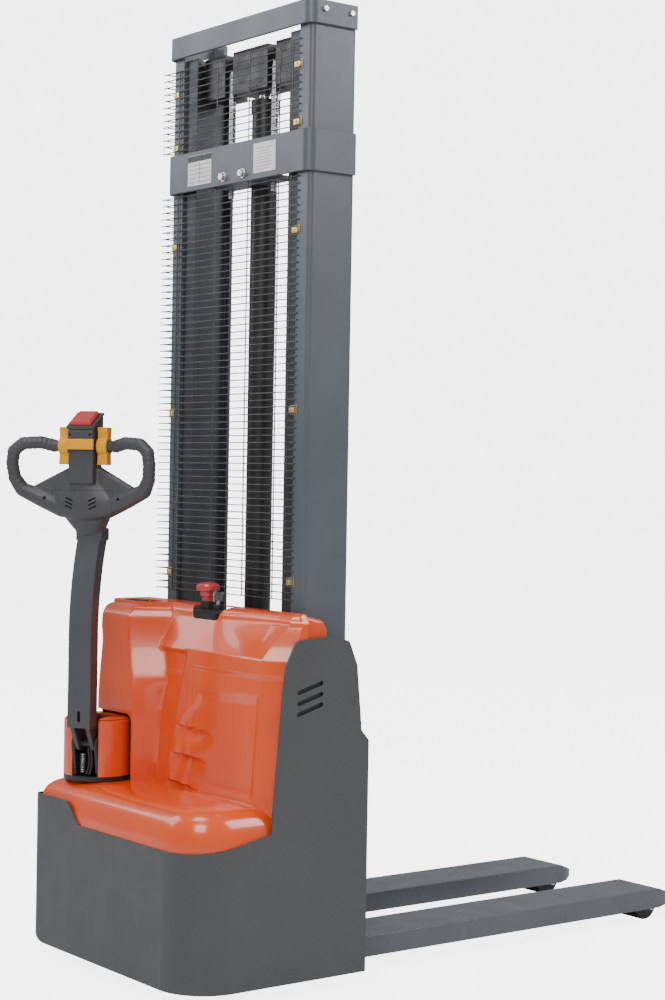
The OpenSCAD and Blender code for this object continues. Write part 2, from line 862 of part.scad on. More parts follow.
module inner_rollers() {
  roller_pair(inner_out + 4, mast_half - web_t - 6, inner_roller_z, cavity_d - 2 * gap);
}

module carriage_rollers_lower() {
  roller_pair(inner_web_x - web_t / 2 - 3 - roller_w, inner_web_x - web_t / 2 - 3, lower_roller_z,
              inner_cavity - 2 * gap);
}

module carriage_rollers_upper() {
  roller_pair(inner_web_x - web_t / 2 - 3 - roller_w, inner_web_x - web_t / 2 - 3, upper_roller_z,
              inner_cavity - 2 * gap);
}

// ---- Carriage and forks ----

module carriage_frame() {
  color(mast_grey) machine() {
    both_sides() {
      difference() {
        prism_x(plate_in, plate_in + plate_t, [
          [mast_mid_y - 30, carriage_z0 + 20], [mast_mid_y - 10, carriage_z0],
          [carriage_back, carriage_z0], [carriage_back, carriage_z1],
          [mast_mid_y - 10, carriage_z1], [mast_mid_y - 30, carriage_z1 - 20]
        ]);
        block(plate_in - 1, plate_in + plate_t + 1, mast_mid_y - 18, carriage_back - 30,
              carriage_z0 + 110, carriage_z1 - 110);
      }
      for (z = [lower_roller_z, upper_roller_z]) {
        bar_x(plate_in + 2, inner_web_x - web_t / 2 - 2, mast_mid_y, z, roller_pin_d);
      }
      block(pulley_x - 20, pulley_x + 20, pulley_y + chain_r - 12, carriage_back + 1,
            carriage_chain_z - 30, carriage_chain_z);
    }
    block(-fork_spread / 2, fork_spread / 2, carriage_back, carriage_back + bar_t,
          carriage_z0, carriage_z0 + 110);
    block(-fork_spread / 2, fork_spread / 2, carriage_back, carriage_back + bar_t,
          carriage_z1 - 90, carriage_z1);
  }
}

// One fork: shank, top plate and two flanges that hang over the support leg
module fork(s) {
  flange_z = fork_z - fork_depth;
  color(mast_grey) machine() on_side(s) translate([fork_x, 0, 0]) {
    block(-fork_w / 2, fork_w / 2, carriage_back + bar_t, fork_face, fork_z - fork_t, shank_z);
    difference() {
      prism_x(-fork_w / 2, fork_w / 2, [
        [fork_face - 1, flange_z], [tip_y - toe_l, flange_z], [tip_y - 30, flange_z + 10],
        [tip_y, fork_z - toe_drop - 14], [tip_y, fork_z - toe_drop], [tip_y - toe_l, fork_z],
        [fork_face - 1, fork_z]
      ]);
      translate([0, 0, -fork_t]) prism_x(fork_t - fork_w / 2, fork_w / 2 - fork_t, [
        [carriage_back, 0], [pocket_end, 0], [pocket_end, fork_z - 10],
        [tip_y - toe_l, fork_z], [carriage_back, fork_z]
      ]);
      both_sides() tip_rounding();
    }
    both_sides() prism_x(fork_w / 2 - fork_t, fork_w / 2, [
      [fork_face, fork_z], [fork_face, fork_z + 60], [fork_face + 14, fork_z + 12],
      [fork_face + 60, fork_z]
    ]);
  }
}

module tip_rounding() {
  r = fork_w / 2 - 8;
  difference() {
    block(fork_w / 2 - r, fork_w / 2 + 1, tip_y - r, tip_y + 1, -1, fork_z + 1);
    post(fork_w / 2 - r, tip_y - r, -2, fork_z + 2, 2 * r);
  }
}

module fork_left() { fork(-1); }

module fork_right() { fork(1); }

module chain_lift_strands() {
  y = pulley_y + chain_r;
  color(steel) machine() both_sides() {
    block(pulley_x - chain_w / 2, pulley_x + chain_w / 2, y - chain_t / 2, y + chain_t / 2,
          carriage_chain_z, pulley_z);
  }
}

// ---- Support legs ----

module support_leg(s) {
  color(dark_grey) machine() on_side(s) translate([fork_x, 0, 0]) difference() {
    block(-leg_w / 2, leg_w / 2, leg_y0, leg_end, leg_z0, leg_z1);
    block(leg_t - leg_w / 2, leg_w / 2 - leg_t, leg_y0 + leg_t, leg_end - leg_t, 0, leg_z1 - leg_t);
    block(-load_w / 2 - 4, load_w / 2 + 4, load_y - load_d / 2 - 6, leg_end + 1, 0, leg_z1 + 1);
    bar_x(-leg_w, leg_w, load_y, load_d / 2, load_pin_d + 2 * fit);
  }
}

module support_leg_left() { support_leg(-1); }

module support_leg_right() { support_leg(1); }

module load_axles() {
  color(steel) machine() both_sides()
    bar_x(fork_x - leg_w / 2, fork_x + leg_w / 2, load_y, load_d / 2, load_pin_d);
}

module load_wheel(s) {
  color(black) machine() on_side(s)
    ring_x(fork_x - load_w / 2, fork_x + load_w / 2, load_y, load_d / 2, load_d,
           load_pin_d + 2 * fit);
}

module load_wheel_left() { load_wheel(-1); }

module load_wheel_right() { load_wheel(1); }

// ---- Caster ----

module caster_plate() {
  color(steel) machine() {
    block(caster_x - 50, caster_x + 50, caster_y - 50, caster_y + 50,
          caster_plate_z, caster_plate_z + 8);
    post(caster_x, caster_y, caster_plate_z - 24, caster_plate_z, 62);
  }
}

module caster_fork() {
  y = caster_y + caster_trail;
  z = caster_plate_z - 24 - seat;
  color(steel) machine() {
    post(caster_x, caster_y, z - 8, z, 66);
    difference() {
      union() {
        block(caster_x - caster_leg - 4, caster_x + caster_leg + 4, caster_y - 26, y + 16, z - 14, z - 8);
        for (s = [-1, 1]) {
          translate([caster_x + s * (caster_leg + 2) - 2, 0, 0]) prism_x(0, 4, [
            [caster_y - 24, z - 8], [y + 16, z - 8], [y + 16, caster_d / 2 - 12],
            [y - 16, caster_d / 2 - 12], [caster_y - 24, z - 40]
          ]);
        }
      }
    }
    bar_x(caster_x - caster_leg - 8, caster_x + caster_leg + 8, y, caster_d / 2, caster_pin_d);
  }
}

module caster_wheel() {
  color(black) machine() ring_x(caster_x - caster_w / 2, caster_x + caster_w / 2,
                                caster_y + caster_trail, caster_d / 2, caster_d,
                                caster_pin_d + 2 * fit);
}

// ---- Drive unit and hub ----

module drive_gearbox() {
  side = drive_w / 2 + 8;
  color(dark_grey) tiller_frame() {
    difference() {
      union() {
        hull() {
          bar_x(side, side + 44, 0, drive_d / 2, 120);
          block(side, side + 44, -50, 50, drive_top, drive_top + 20);
        }
        post(0, 0, drive_top, mount_z, neck_d + 24);
      }
      bar_x(side - 1, side + 46, 0, drive_d / 2, 36 + 2 * fit);
    }
    post(0, 0, mount_z - 1, mount_z + mount_t + seat, neck_d);
    post(0, 0, mount_z + mount_t + seat, mount_z + mount_t + 14, neck_d + 24);
  }
}

module drive_wheel() {
  color(black) tiller_frame() {
    difference() {
      bar_x(-drive_w / 2, drive_w / 2, 0, drive_d / 2, drive_d);
      bar_x(-drive_w / 2 - 1, 8 - drive_w / 2, 0, drive_d / 2, drive_d - 60);
    }
    bar_x(drive_w / 2 - 1, drive_w / 2 + 50, 0, drive_d / 2, 36);
  }
}

module drive_motor() {
  z = mount_z + mount_t + 14;
  color(black) tiller_frame() {
    post(0, 0, z, hub_z0 - 22, motor_d);
    post(0, 0, hub_z0 - 22, hub_z0 - 2, motor_d - 26);
  }
}

// Ring plate on top of the drive unit, with the two ears that hold the tilt pin
module steer_turntable() {
  color(black) tiller_frame() {
    post(0, 0, hub_z0 - 2, hub_z0, motor_d - 10);
    post(0, 0, hub_z0, shell_z0 - 0.01, hub_d);
    both_sides() hull() {
      bar_x(slot_half - 9, slot_half - 1, -pivot_r, pivot_z, 40);
      block(slot_half - 9, slot_half - 1, -pivot_r - 4, 30, shell_z0 - 2, shell_z0 + 6);
    }
    bar_x(-slot_half + 2, slot_half - 2, -pivot_r, pivot_z, pivot_d);
    post(0, 30, shell_z0 - 1, pivot_z + 20, 48);
  }
}

// One half of the hub's cover, on the right of the arm's slot
module hub_shell() {
  r = hub_d / 2;
  difference() {
    union() {
      translate([0, 0, shell_z0]) cylinder(h = shell_z1 - shell_z0 - 10, r = r);
      translate([0, 0, shell_z1 - 10]) cylinder(h = 10, r1 = r, r2 = r - 8);
    }
    translate([0, 0, shell_z0 - 1]) cylinder(h = shell_z1 - shell_z0 + 1 - skin_t, r = r - skin_t);
    block(-r - 1, 0.2, -r - 1, r + 1, 0, shell_z1 + 1);
    block(-1, slot_half, -r - 1, -8, 0, shell_z1 + 1);
    block(-1, slot_half, -r - 1, 34, shell_z1 - skin_t - 1, shell_z1 + 1);
  }
  block(slot_half, slot_half + 3, -r + 9, -8, shell_z0, shell_z1 - 2);
}

module hub_shell_left() { color(orange) tiller_frame() mirror([1, 0, 0]) hub_shell(); }

module hub_shell_right() { color(orange) tiller_frame() hub_shell(); }

// ---- Tiller ----

// Section of the arm, open at the back: front face at y = 0, lying in [x, y]
module arm_plan() {
  difference() {
    translate([-arm_w / 2, 0]) square([arm_w, arm_d]);
    translate([arm_t - arm_w / 2, arm_t]) square([arm_w - 2 * arm_t, arm_d]);
  }
}

module tiller_arm() {
  lug_x = arm_w / 2 - arm_t;
  color(dark_grey) tiller_frame() {
    difference() {
      union() {
        translate([0, -arm_front, arm_z0]) linear_extrude(arm_straight) arm_plan();
        translate([0, arm_bend_r - arm_front, arm_z1]) rotate([90, 0, -90])
          rotate_extrude(angle = arm_sweep, $fn = 360) bent_plan();
      }
      translate([0, -arm_front - 1, arm_z0 + 18]) rotate([-90, 0, 0]) hull() {
        cylinder(h = arm_t + 2, d = 8);
        translate([0, -20, 0]) cylinder(h = arm_t + 2, d = 8);
      }
    }
    both_sides() arm_lug(lug_x - 11);
  }
}

// The arm's section laid out for turning: x is the bend's radius, y is the arm's width
module bent_plan() {
  difference() {
    translate([arm_bend_r - arm_d, -arm_w / 2]) square([arm_d, arm_w]);
    translate([arm_bend_r - arm_d - 1, arm_t - arm_w / 2])
      square([arm_d - arm_t + 1, arm_w - 2 * arm_t]);
  }
}

// A plate inside the arm that reaches down to the tilt pin
module arm_lug(x) {
  difference() {
    hull() {
      bar_x(x, x + 10, -pivot_r, pivot_z, 36);
      block(x, x + 10, -arm_front + arm_t, -arm_front + arm_d, arm_z0 + 4, arm_z0 + 60);
    }
    bar_x(x - 1, x + 11, -pivot_r, pivot_z, pivot_d + 2 * fit);
  }
}

// Everything in the head except its openings and the split into two shells
module head_solid() {
  z = arm_top_z;
  r = arm_top_r;
  hull() {
    block(-arm_w / 2 - 5, arm_w / 2 + 5, -r - 6, -r + arm_d + 4, z - 22, z + 2);
    translate([0, -r - 22, z + 46]) scale([1, 0.36, 0.62]) sphere(76, $fn = hull_fn);
  }
  hull() {
    translate([0, -r - 34, z + 62]) scale([1, 0.28, 0.5]) sphere(104, $fn = hull_fn);
    translate([0, -bar_r, bar_h - 92]) scale([1, 0.62, 0.6]) sphere(44, $fn = hull_fn);
  }
  hull() {
    block(-neck_half, neck_half, -bar_r - neck_depth / 2 + 6, -bar_r + neck_depth / 2 - 6,
          bar_h - 92, bar_h - 90);
    block(-neck_half, neck_half, -bar_r - neck_depth / 2, -bar_r + neck_depth / 2,
          bar_h - 20, bar_h + 20);
  }
  both_sides() {
    bar_x(neck_half - 2, bar_half, -bar_r, bar_h, grip_d - 4);
    for (i = [0:len(grip_path()) - 2]) hull() {
      translate(grip_path()[i]) sphere(grip_r, $fn = hull_fn);
      translate(grip_path()[i + 1]) sphere(grip_r, $fn = hull_fn);
    }
    hull() {
      translate(grip_path()[7]) sphere(grip_r, $fn = hull_fn);
      translate([70, -r - 30, z + 66]) sphere(grip_r + 6, $fn = hull_fn);
      translate([40, -r - 26, z + 20]) sphere(grip_r, $fn = hull_fn);
    }
  }
  head_top_block();
}

// Block over the neck, cut off along the sloped face that holds the button
module head_top_block() {
  d = neck_depth / 2 + 6;
  drop = 2 * d * tan(face_tilt);
  prism_x(-neck_half, neck_half, [
    [-bar_r - d, bar_h + 18], [-bar_r + d, bar_h + 18],
    [-bar_r + d, head_top], [-bar_r - d, head_top - drop]
  ]);
}

// Space taken by the head's front cover, grown by d
module cover_space(d) {
  z = arm_top_z;
  y = d - arm_top_r;
  prism_x(-cover_half - d, cover_half + d, [
    [y - 300, z - 100], [y + 6, z - 100], [y + 6, z], [y - 22, z + cover_h + d],
    [y - 300, z + cover_h + d]
  ]);
}

module head_front_shell() {
  color(dark_grey) tiller_frame() intersection() {
    head_cut();
    cover_space(0);
  }
}

module head_rear_shell() {
  color(dark_grey) tiller_frame() difference() {
    head_cut();
    cover_space(0.1);
  }
}

// The head with room cut out for the arm's end and for the button's travel
module head_cut() {
  difference() {
    head_solid();
    translate([0, -arm_top_r, arm_top_z]) rotate([-arm_sweep, 0, 0])
      translate([-arm_w / 2 - 0.2, -0.2, -40]) cube([arm_w + 0.4, arm_d + 0.4, 50]);
    face_frame() translate([-28, -31, -button_travel]) cube([56, 62, button_travel + 1]);
  }
}

// Frame of the sloped face: origin at its middle, Z out of the face
module face_frame() {
  d = neck_depth / 2 + 6;
  translate([0, -bar_r, head_top - d * tan(face_tilt)]) rotate([face_tilt, 0, 0]) children();
}

module button_bezel() {
  color(steel) tiller_frame() face_frame() difference() {
    translate([-36, -38, seat]) cube([72, 76, 7]);
    translate([-28, -31, -1]) cube([56, 62, 10]);
  }
}

module reverse_button() {
  color(red) tiller_frame() face_frame() hull() {
    translate([-27, -30, 1 + seat]) cube([54, 60, 12]);
    translate([-23, -26, 1 + seat]) cube([46, 52, 17]);
  }
}

module throttle_wings() {
  color(yellow) tiller_frame() both_sides() difference() {
    union() {
      bar_x(wing_in, wing_out, -bar_r, bar_h, grip_d + 14);
      prism_x(wing_in, wing_out, [
        [-bar_r - 15, bar_h - wing_reach], [-bar_r + 15, bar_h - wing_reach],
        [-bar_r + 10, bar_h], [-bar_r + 15, bar_h + wing_reach],
        [-bar_r - 15, bar_h + wing_reach], [-bar_r - 10, bar_h]
      ]);
    }
    bar_x(wing_in - 1, wing_out + 1, -bar_r, bar_h, grip_d - 4 + 2 * gap);
  }
}

// Bar across the neck's front; its back is wedge-shaped, so that it can rock
module lift_rocker() {
  y = -bar_r - neck_depth / 2 - seat;
  h = rocker_h / 2;
  slack = h * tan(rocker_swing + 2);
  color(yellow) tiller_frame() prism_x(-neck_half - 3, neck_half + 3, [
    [y, rocker_z], [y - slack, rocker_z + h], [y - 8, rocker_z + h],
    [y - 10, rocker_z], [y - 8, rocker_z - h], [y - slack, rocker_z - h]
  ]);
}

// ---- Switches and knobs on the hood ----

module control_panel() {
  color(black) machine() {
    hull() {
      post(panel_x - 42, panel_mid_y, panel_top - 20, panel_top - 2, 63, $fn = 48);
      post(panel_x + 42, panel_mid_y, panel_top - 20, panel_top - 2, 63, $fn = 48);
    }
    difference() {
      post(key_x, panel_mid_y, panel_top - 3, panel_top + 14, 26);
      post(key_x, panel_mid_y, panel_top - 1, panel_top + 15, 9 + 2 * fit);
    }
    post(panel_x + 48, panel_mid_y, panel_top - 3, panel_top + 1, 34);
  }
}

module stop_base() {
  color(black) machine() difference() {
    post(stop_x, panel_mid_y, panel_top - 2, panel_top + 18, 34);
    post(stop_x, panel_mid_y, panel_top + 2, panel_top + 19, 20 + 2 * fit);
  }
}

module stop_knob() {
  z = panel_top + 12;
  color(red) machine() translate([stop_x, panel_mid_y, 0]) {
    translate([0, 0, z]) cylinder(h = 16, d = 20);
    translate([0, 0, z + 14]) cylinder(h = 22, d1 = 26, d2 = 34);
    translate([0, 0, z + 34]) cylinder(h = 12, d = 58);
    translate([0, 0, z + 46]) cylinder(h = 6, d1 = 58, d2 = 40);
  }
}

module ignition_key() {
  color(steel) machine() {
    post(key_x, panel_mid_y, panel_top + 1, panel_top + 20, 9);
    block(key_x - 3, key_x + 3, panel_mid_y - 13, panel_mid_y + 13, panel_top + 19, panel_top + 42);
  }
}

module hood_knob() {
  z = tray_z + seat;
  color(black) machine() translate([tray_x, tray_y, z]) {
    cylinder(h = 26, d = 22);
    translate([0, 0, 26]) cylinder(h = 18, d1 = knob_d + 6, d2 = knob_d - 8);
  }
}

chassis_frame();
drive_mount();
support_leg_left();
support_leg_right();
load_axles();
outer_channel_left();
outer_channel_right();
mast_top_beam();
mast_mid_beam();
mesh_guard();
mesh_clips();
mast_screws();
data_plates();
cylinder_barrel();
chain_anchors();
chain_fixed_strands();
body_apron();
deck_cover();
hood();
battery();
hydraulic_pack();
controller();
charger();
control_panel();
stop_base();
caster_plate();
steer_turntable();
drive_gearbox();
drive_motor();
hub_shell_left();
hub_shell_right();
drive_wheel();
tiller_arm();
head_front_shell();
head_rear_shell();
button_bezel();
throttle_wings();
lift_rocker();
reverse_button();
inner_channel_left();
inner_channel_right();
inner_top_beam();
inner_foot_beam();
cylinder_rod();
chain_pulleys();
carriage_frame();
fork_left();
fork_right();
chain_lift_strands();
outer_rollers();
inner_rollers();
carriage_rollers_lower();
carriage_rollers_upper();
load_wheel_left();
load_wheel_right();
caster_fork();
caster_wheel();
stop_knob();
ignition_key();
hood_knob();
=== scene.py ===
# Electric walkie stacker: finished surfaces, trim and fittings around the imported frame.
import json
import math

import bmesh
import bpy
from mathutils import Matrix, Vector


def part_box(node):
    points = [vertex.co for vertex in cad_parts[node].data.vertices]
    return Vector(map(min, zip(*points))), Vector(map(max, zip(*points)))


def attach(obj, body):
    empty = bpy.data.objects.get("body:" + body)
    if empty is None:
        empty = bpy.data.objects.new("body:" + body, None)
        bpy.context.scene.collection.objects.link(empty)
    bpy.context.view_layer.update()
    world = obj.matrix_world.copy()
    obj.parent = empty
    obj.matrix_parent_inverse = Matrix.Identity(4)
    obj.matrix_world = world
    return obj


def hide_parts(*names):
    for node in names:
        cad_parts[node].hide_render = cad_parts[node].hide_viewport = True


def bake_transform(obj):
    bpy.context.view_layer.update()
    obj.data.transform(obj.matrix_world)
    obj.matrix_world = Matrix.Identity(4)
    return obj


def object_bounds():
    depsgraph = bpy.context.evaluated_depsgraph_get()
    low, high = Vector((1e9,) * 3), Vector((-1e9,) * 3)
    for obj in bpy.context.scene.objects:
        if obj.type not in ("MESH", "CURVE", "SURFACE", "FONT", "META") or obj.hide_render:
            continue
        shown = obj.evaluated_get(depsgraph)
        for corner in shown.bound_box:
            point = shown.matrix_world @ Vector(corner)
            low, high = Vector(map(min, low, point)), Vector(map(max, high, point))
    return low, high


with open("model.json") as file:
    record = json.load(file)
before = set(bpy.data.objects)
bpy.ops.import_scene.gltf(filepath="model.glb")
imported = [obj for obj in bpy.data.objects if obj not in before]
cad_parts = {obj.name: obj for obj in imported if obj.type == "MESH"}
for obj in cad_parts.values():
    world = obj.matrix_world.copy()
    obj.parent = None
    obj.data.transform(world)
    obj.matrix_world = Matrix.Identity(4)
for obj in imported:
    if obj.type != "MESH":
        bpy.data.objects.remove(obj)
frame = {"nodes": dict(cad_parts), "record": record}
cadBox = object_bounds()
bodyOf = {n: b for b, nodes in frame["record"]["behaviour"]["bodies"].items() for n in nodes}
print("frame loaded:", len(bodyOf), "nodes")

# camera, lights and floor

camera = {
    "place": (4.046, -3.1949, 1.2076),
    "yaw": 52.81,
    "dip": 0.716,
    "roll": 0.965,
    "lens": 71.39,
}


def makeCamera():
    yaw, dip, roll = (math.radians(camera[key]) for key in ("yaw", "dip", "roll"))
    ahead = Vector((-math.sin(yaw) * math.cos(dip), math.cos(yaw) * math.cos(dip), -math.sin(dip)))
    right = Vector((math.cos(yaw), math.sin(yaw), 0))
    up = right.cross(ahead)
    across = right * math.cos(roll) + up * math.sin(roll)
    upward = up * math.cos(roll) - right * math.sin(roll)
    lens = bpy.data.cameras.new("camera")
    lens.lens = camera["lens"]
    lens.sensor_width = 36
    lens.clip_end = 200
    eye = bpy.data.objects.new("camera", lens)
    bpy.context.scene.collection.objects.link(eye)
    turn = Matrix((across, upward, -ahead)).transposed().to_4x4()
    eye.matrix_world = Matrix.Translation(camera["place"]) @ turn
    bpy.context.scene.camera = eye


studio = {
    "sky": (0.94, 0.96, 1.0),
    "glow": 0.42,       # how strongly the sky lights the truck
    "backdrop": 5.0,    # how bright the sky is behind it
    "floor": (0.93, 0.93, 0.93),
    "sheet": 4.5,       # how bright the floor looks by itself, to the camera only
    "lamps": [  # place, aim, size, power, colour
        ((3.4, -4.4, 4.4), (0, -0.3, 0.9), 2.6, 190, (1.0, 0.98, 0.95)),
        ((-3.4, -3.2, 3.4), (0, -0.4, 0.8), 2.4, 70, (0.95, 0.97, 1.0)),
        ((3.2, 2.6, 3.8), (0.2, 0.1, 1.0), 2.2, 130, (1.0, 1.0, 1.0)),
        ((0.4, -1.8, 4.8), (-0.1, -0.4, 0.6), 1.6, 60, (1.0, 1.0, 1.0)),
    ],
}


def makeStudio():
    world = bpy.data.worlds.new("studio")
    world.use_nodes = True
    nodes, links = world.node_tree.nodes, world.node_tree.links
    glow, backdrop = nodes["Background"], nodes.new("ShaderNodeBackground")
    for shade, strength in ((glow, studio["glow"]), (backdrop, studio["backdrop"])):
        shade.inputs["Color"].default_value = (*studio["sky"], 1)
        shade.inputs["Strength"].default_value = strength
    seen, both = nodes.new("ShaderNodeLightPath"), nodes.new("ShaderNodeMixShader")
    links.new(seen.outputs["Is Camera Ray"], both.inputs[0])
    links.new(glow.outputs[0], both.inputs[1])
    links.new(backdrop.outputs[0], both.inputs[2])
    links.new(both.outputs[0], nodes["World Output"].inputs[0])
    bpy.context.scene.world = world
    for i, (place, aim, size, power, colour) in enumerate(studio["lamps"]):
        lamp = bpy.data.lights.new(f"softbox{i}", "AREA")
        lamp.size = size
        lamp.energy = power
        lamp.color = colour
        holder = bpy.data.objects.new(f"softbox{i}", lamp)
        holder.location = place
        holder.rotation_euler = (Vector(aim) - Vector(place)).to_track_quat("-Z", "Y").to_euler()
        bpy.context.scene.collection.objects.link(holder)
    half = 30.0
    sheet = bpy.data.meshes.new("floor")
    sheet.from_pydata([(-half, -half, 0), (half, -half, 0), (half, half, 0), (-half, half, 0)],
                      [], [(0, 1, 2, 3)])
    floor = bpy.data.objects.new("floor", sheet)
    paper = surface("floorPaper", {
        "colour": studio["floor"], "second": (0.8, 0.8, 0.8), "cloud": 0.7,
        "rough": (0.55, 0.65), "grain": 60, "bump": 0.00002})
    nodes, links = paper.node_tree.nodes, paper.node_tree.links
    seen, shine = nodes.new("ShaderNodeLightPath"), nodes.new("ShaderNodeEmission")
    scale, both = nodes.new("ShaderNodeMath"), nodes.new("ShaderNodeAddShader")
    scale.operation = "MULTIPLY"
    scale.inputs[1].default_value = studio["sheet"]
    links.new(seen.outputs["Is Camera Ray"], scale.inputs[0])
    links.new(scale.outputs[0], shine.inputs["Strength"])
    links.new(nodes["Principled BSDF"].outputs[0], both.inputs[0])
    links.new(shine.outputs[0], both.inputs[1])
    links.new(both.outputs[0], nodes["Material Output"].inputs["Surface"])
    sheet.materials.append(paper)
    bpy.context.scene.collection.objects.link(floor)


# finishes


def surface(name, look):
    # colour: main colour; second: what clouds tint it towards; cloud: how often they come;
    # rough: lowest and highest roughness; grain: how fine the bumps are; bump: their height
    paint = bpy.data.materials.new(name)
    paint.use_nodes = True
    nodes, links = paint.node_tree.nodes, paint.node_tree.links
    shader = nodes["Principled BSDF"]
    shader.inputs["Metallic"].default_value = look.get("metal", 0.0)
    shader.inputs["Coat Weight"].default_value = look.get("coat", 0.0)
    shader.inputs["Coat Roughness"].default_value = look.get("coatRough", 0.06)
    shader.inputs["Anisotropic"].default_value = look.get("brushed", 0.0)
    shader.inputs["IOR"].default_value = look.get("ior", 1.5)
    where = nodes.new("ShaderNodeTexCoord")
    placed = nodes.new("ShaderNodeMapping")
    placed.inputs["Scale"].default_value = look.get("stretch", (1, 1, 1))
    links.new(where.outputs["Object"], placed.inputs["Vector"])

    def noise(size, detail):
        cloud = nodes.new("ShaderNodeTexNoise")
        cloud.inputs["Scale"].default_value = size
        cloud.inputs["Detail"].default_value = detail
        links.new(placed.outputs["Vector"], cloud.inputs["Vector"])
        return cloud.outputs["Fac"]

    def spread(value, low, high):
        ramp = nodes.new("ShaderNodeMapRange")
        ramp.inputs["From Min"].default_value = 0.35
        ramp.inputs["From Max"].default_value = 0.65
        ramp.inputs["To Min"].default_value = low
        ramp.inputs["To Max"].default_value = high
        links.new(value, ramp.inputs["Value"])
        return ramp.outputs["Result"]

    clouds = noise(look["cloud"], 3)
    tint = nodes.new("ShaderNodeMix")
    tint.data_type = "RGBA"
    tint.inputs[6].default_value = (*look["colour"], 1)
    tint.inputs[7].default_value = (*look["second"], 1)
    links.new(spread(clouds, 0, 1), tint.inputs[0])
    colour = tint.outputs[2]
    if "specks" in look:  # fine specks, as in textured plastic or powder coat
        speck = nodes.new("ShaderNodeMix")
        speck.data_type = "RGBA"
        speck.inputs[7].default_value = (*look["specks"], 1)
        links.new(spread(noise(look["grain"] * 0.6, 2), 0, 0.5), speck.inputs[0])
        links.new(colour, speck.inputs[6])
        colour = speck.outputs[2]
    links.new(colour, shader.inputs["Base Color"])
    links.new(spread(noise(look["cloud"] * 2.3, 4), *look["rough"]), shader.inputs["Roughness"])
    bump = nodes.new("ShaderNodeBump")
    bump.inputs["Strength"].default_value = 0.6
    bump.inputs["Distance"].default_value = look["bump"]
    links.new(noise(look["grain"], 2), bump.inputs["Height"])
    links.new(bump.outputs["Normal"], shader.inputs["Normal"])
    return paint


finishes = {
    "hoodOrange": {"colour": (0.79, 0.085, 0.010), "second": (0.73, 0.070, 0.008), "cloud": 6,
                   "rough": (0.2, 0.27), "coat": 0.5, "grain": 260, "bump": 0.00006},
    "apronCoat": {"colour": (0.058, 0.060, 0.064), "second": (0.05, 0.052, 0.056), "cloud": 5,
                  "rough": (0.38, 0.46), "specks": (0.08, 0.082, 0.086), "grain": 900,
                  "bump": 0.00012},
    "mastCoat": {"colour": (0.078, 0.092, 0.107), "second": (0.066, 0.079, 0.092), "cloud": 4,
                 "rough": (0.34, 0.42), "specks": (0.10, 0.115, 0.13), "grain": 700,
                 "bump": 0.0001},
    "forkCoat": {"colour": (0.085, 0.098, 0.112), "second": (0.07, 0.081, 0.094), "cloud": 7,
                 "rough": (0.24, 0.34), "specks": (0.11, 0.125, 0.14), "grain": 600,
                 "bump": 0.0001},
    "innerSteel": {"colour": (0.045, 0.05, 0.058), "second": (0.032, 0.036, 0.042), "cloud": 8,
                   "rough": (0.36, 0.5), "metal": 0.25, "grain": 500, "bump": 0.0001},
    "blackIron": {"colour": (0.012, 0.012, 0.013), "second": (0.02, 0.02, 0.021), "cloud": 14,
                  "rough": (0.32, 0.48), "grain": 500, "bump": 0.0001},
    "wireSteel": {"colour": (0.13, 0.125, 0.12), "second": (0.09, 0.087, 0.085), "cloud": 40,
                  "rough": (0.3, 0.42), "metal": 0.8, "grain": 900, "bump": 0.00004},
    "bareSteel": {"colour": (0.55, 0.56, 0.57), "second": (0.45, 0.46, 0.47), "cloud": 30,
                  "rough": (0.24, 0.36), "metal": 1.0, "brushed": 0.4, "stretch": (1, 1, 6),
                  "grain": 300, "bump": 0.00003},
    "rodChrome": {"colour": (0.72, 0.74, 0.76), "second": (0.66, 0.68, 0.7), "cloud": 12,
                  "rough": (0.07, 0.12), "metal": 1.0, "grain": 400, "bump": 0.00001},
    "goldZinc": {"colour": (0.62, 0.44, 0.15), "second": (0.66, 0.55, 0.3), "cloud": 60,
                 "rough": (0.26, 0.4), "metal": 0.9, "grain": 500, "bump": 0.00004},
    "brightZinc": {"colour": (0.62, 0.62, 0.62), "second": (0.5, 0.5, 0.52), "cloud": 60,
                   "rough": (0.24, 0.36), "metal": 0.9, "grain": 500, "bump": 0.00004},
    "tillerPlastic": {"colour": (0.052, 0.054, 0.057), "second": (0.044, 0.046, 0.049),
                      "cloud": 9, "rough": (0.42, 0.52), "specks": (0.07, 0.072, 0.075),
                      "grain": 1400, "bump": 0.00014},
    "armCoat": {"colour": (0.058, 0.063, 0.07), "second": (0.05, 0.055, 0.061), "cloud": 7,
                "rough": (0.34, 0.44), "specks": (0.078, 0.083, 0.09), "grain": 900,
                "bump": 0.0001},
    "wingYellow": {"colour": (0.86, 0.36, 0.0), "second": (0.8, 0.31, 0.0), "cloud": 12,
                   "rough": (0.34, 0.42), "grain": 700, "bump": 0.00005},
    "buttonRed": {"colour": (0.55, 0.045, 0.05), "second": (0.5, 0.035, 0.04), "cloud": 14,
                  "rough": (0.26, 0.34), "coat": 0.3, "grain": 500, "bump": 0.00003},
    "blackPlastic": {"colour": (0.014, 0.014, 0.015), "second": (0.02, 0.02, 0.021),
                     "cloud": 12, "rough": (0.38, 0.5), "grain": 1200, "bump": 0.0001},
    "tyreBlack": {"colour": (0.022, 0.021, 0.02), "second": (0.032, 0.03, 0.028), "cloud": 18,
                  "rough": (0.55, 0.7), "grain": 500, "bump": 0.0002},
    "plateSilver": {"colour": (0.62, 0.62, 0.6), "second": (0.54, 0.54, 0.53), "cloud": 25,
                    "rough": (0.32, 0.44), "metal": 0.35, "grain": 700, "bump": 0.00003},
    "plateInk": {"colour": (0.03, 0.03, 0.032), "second": (0.045, 0.045, 0.046), "cloud": 60,
                 "rough": (0.45, 0.55), "grain": 700, "bump": 0.00002},
}
coats = {}


def coat(name):
    if name not in coats:
        coats[name] = surface(name, finishes[name])
    return coats[name]


# making pieces


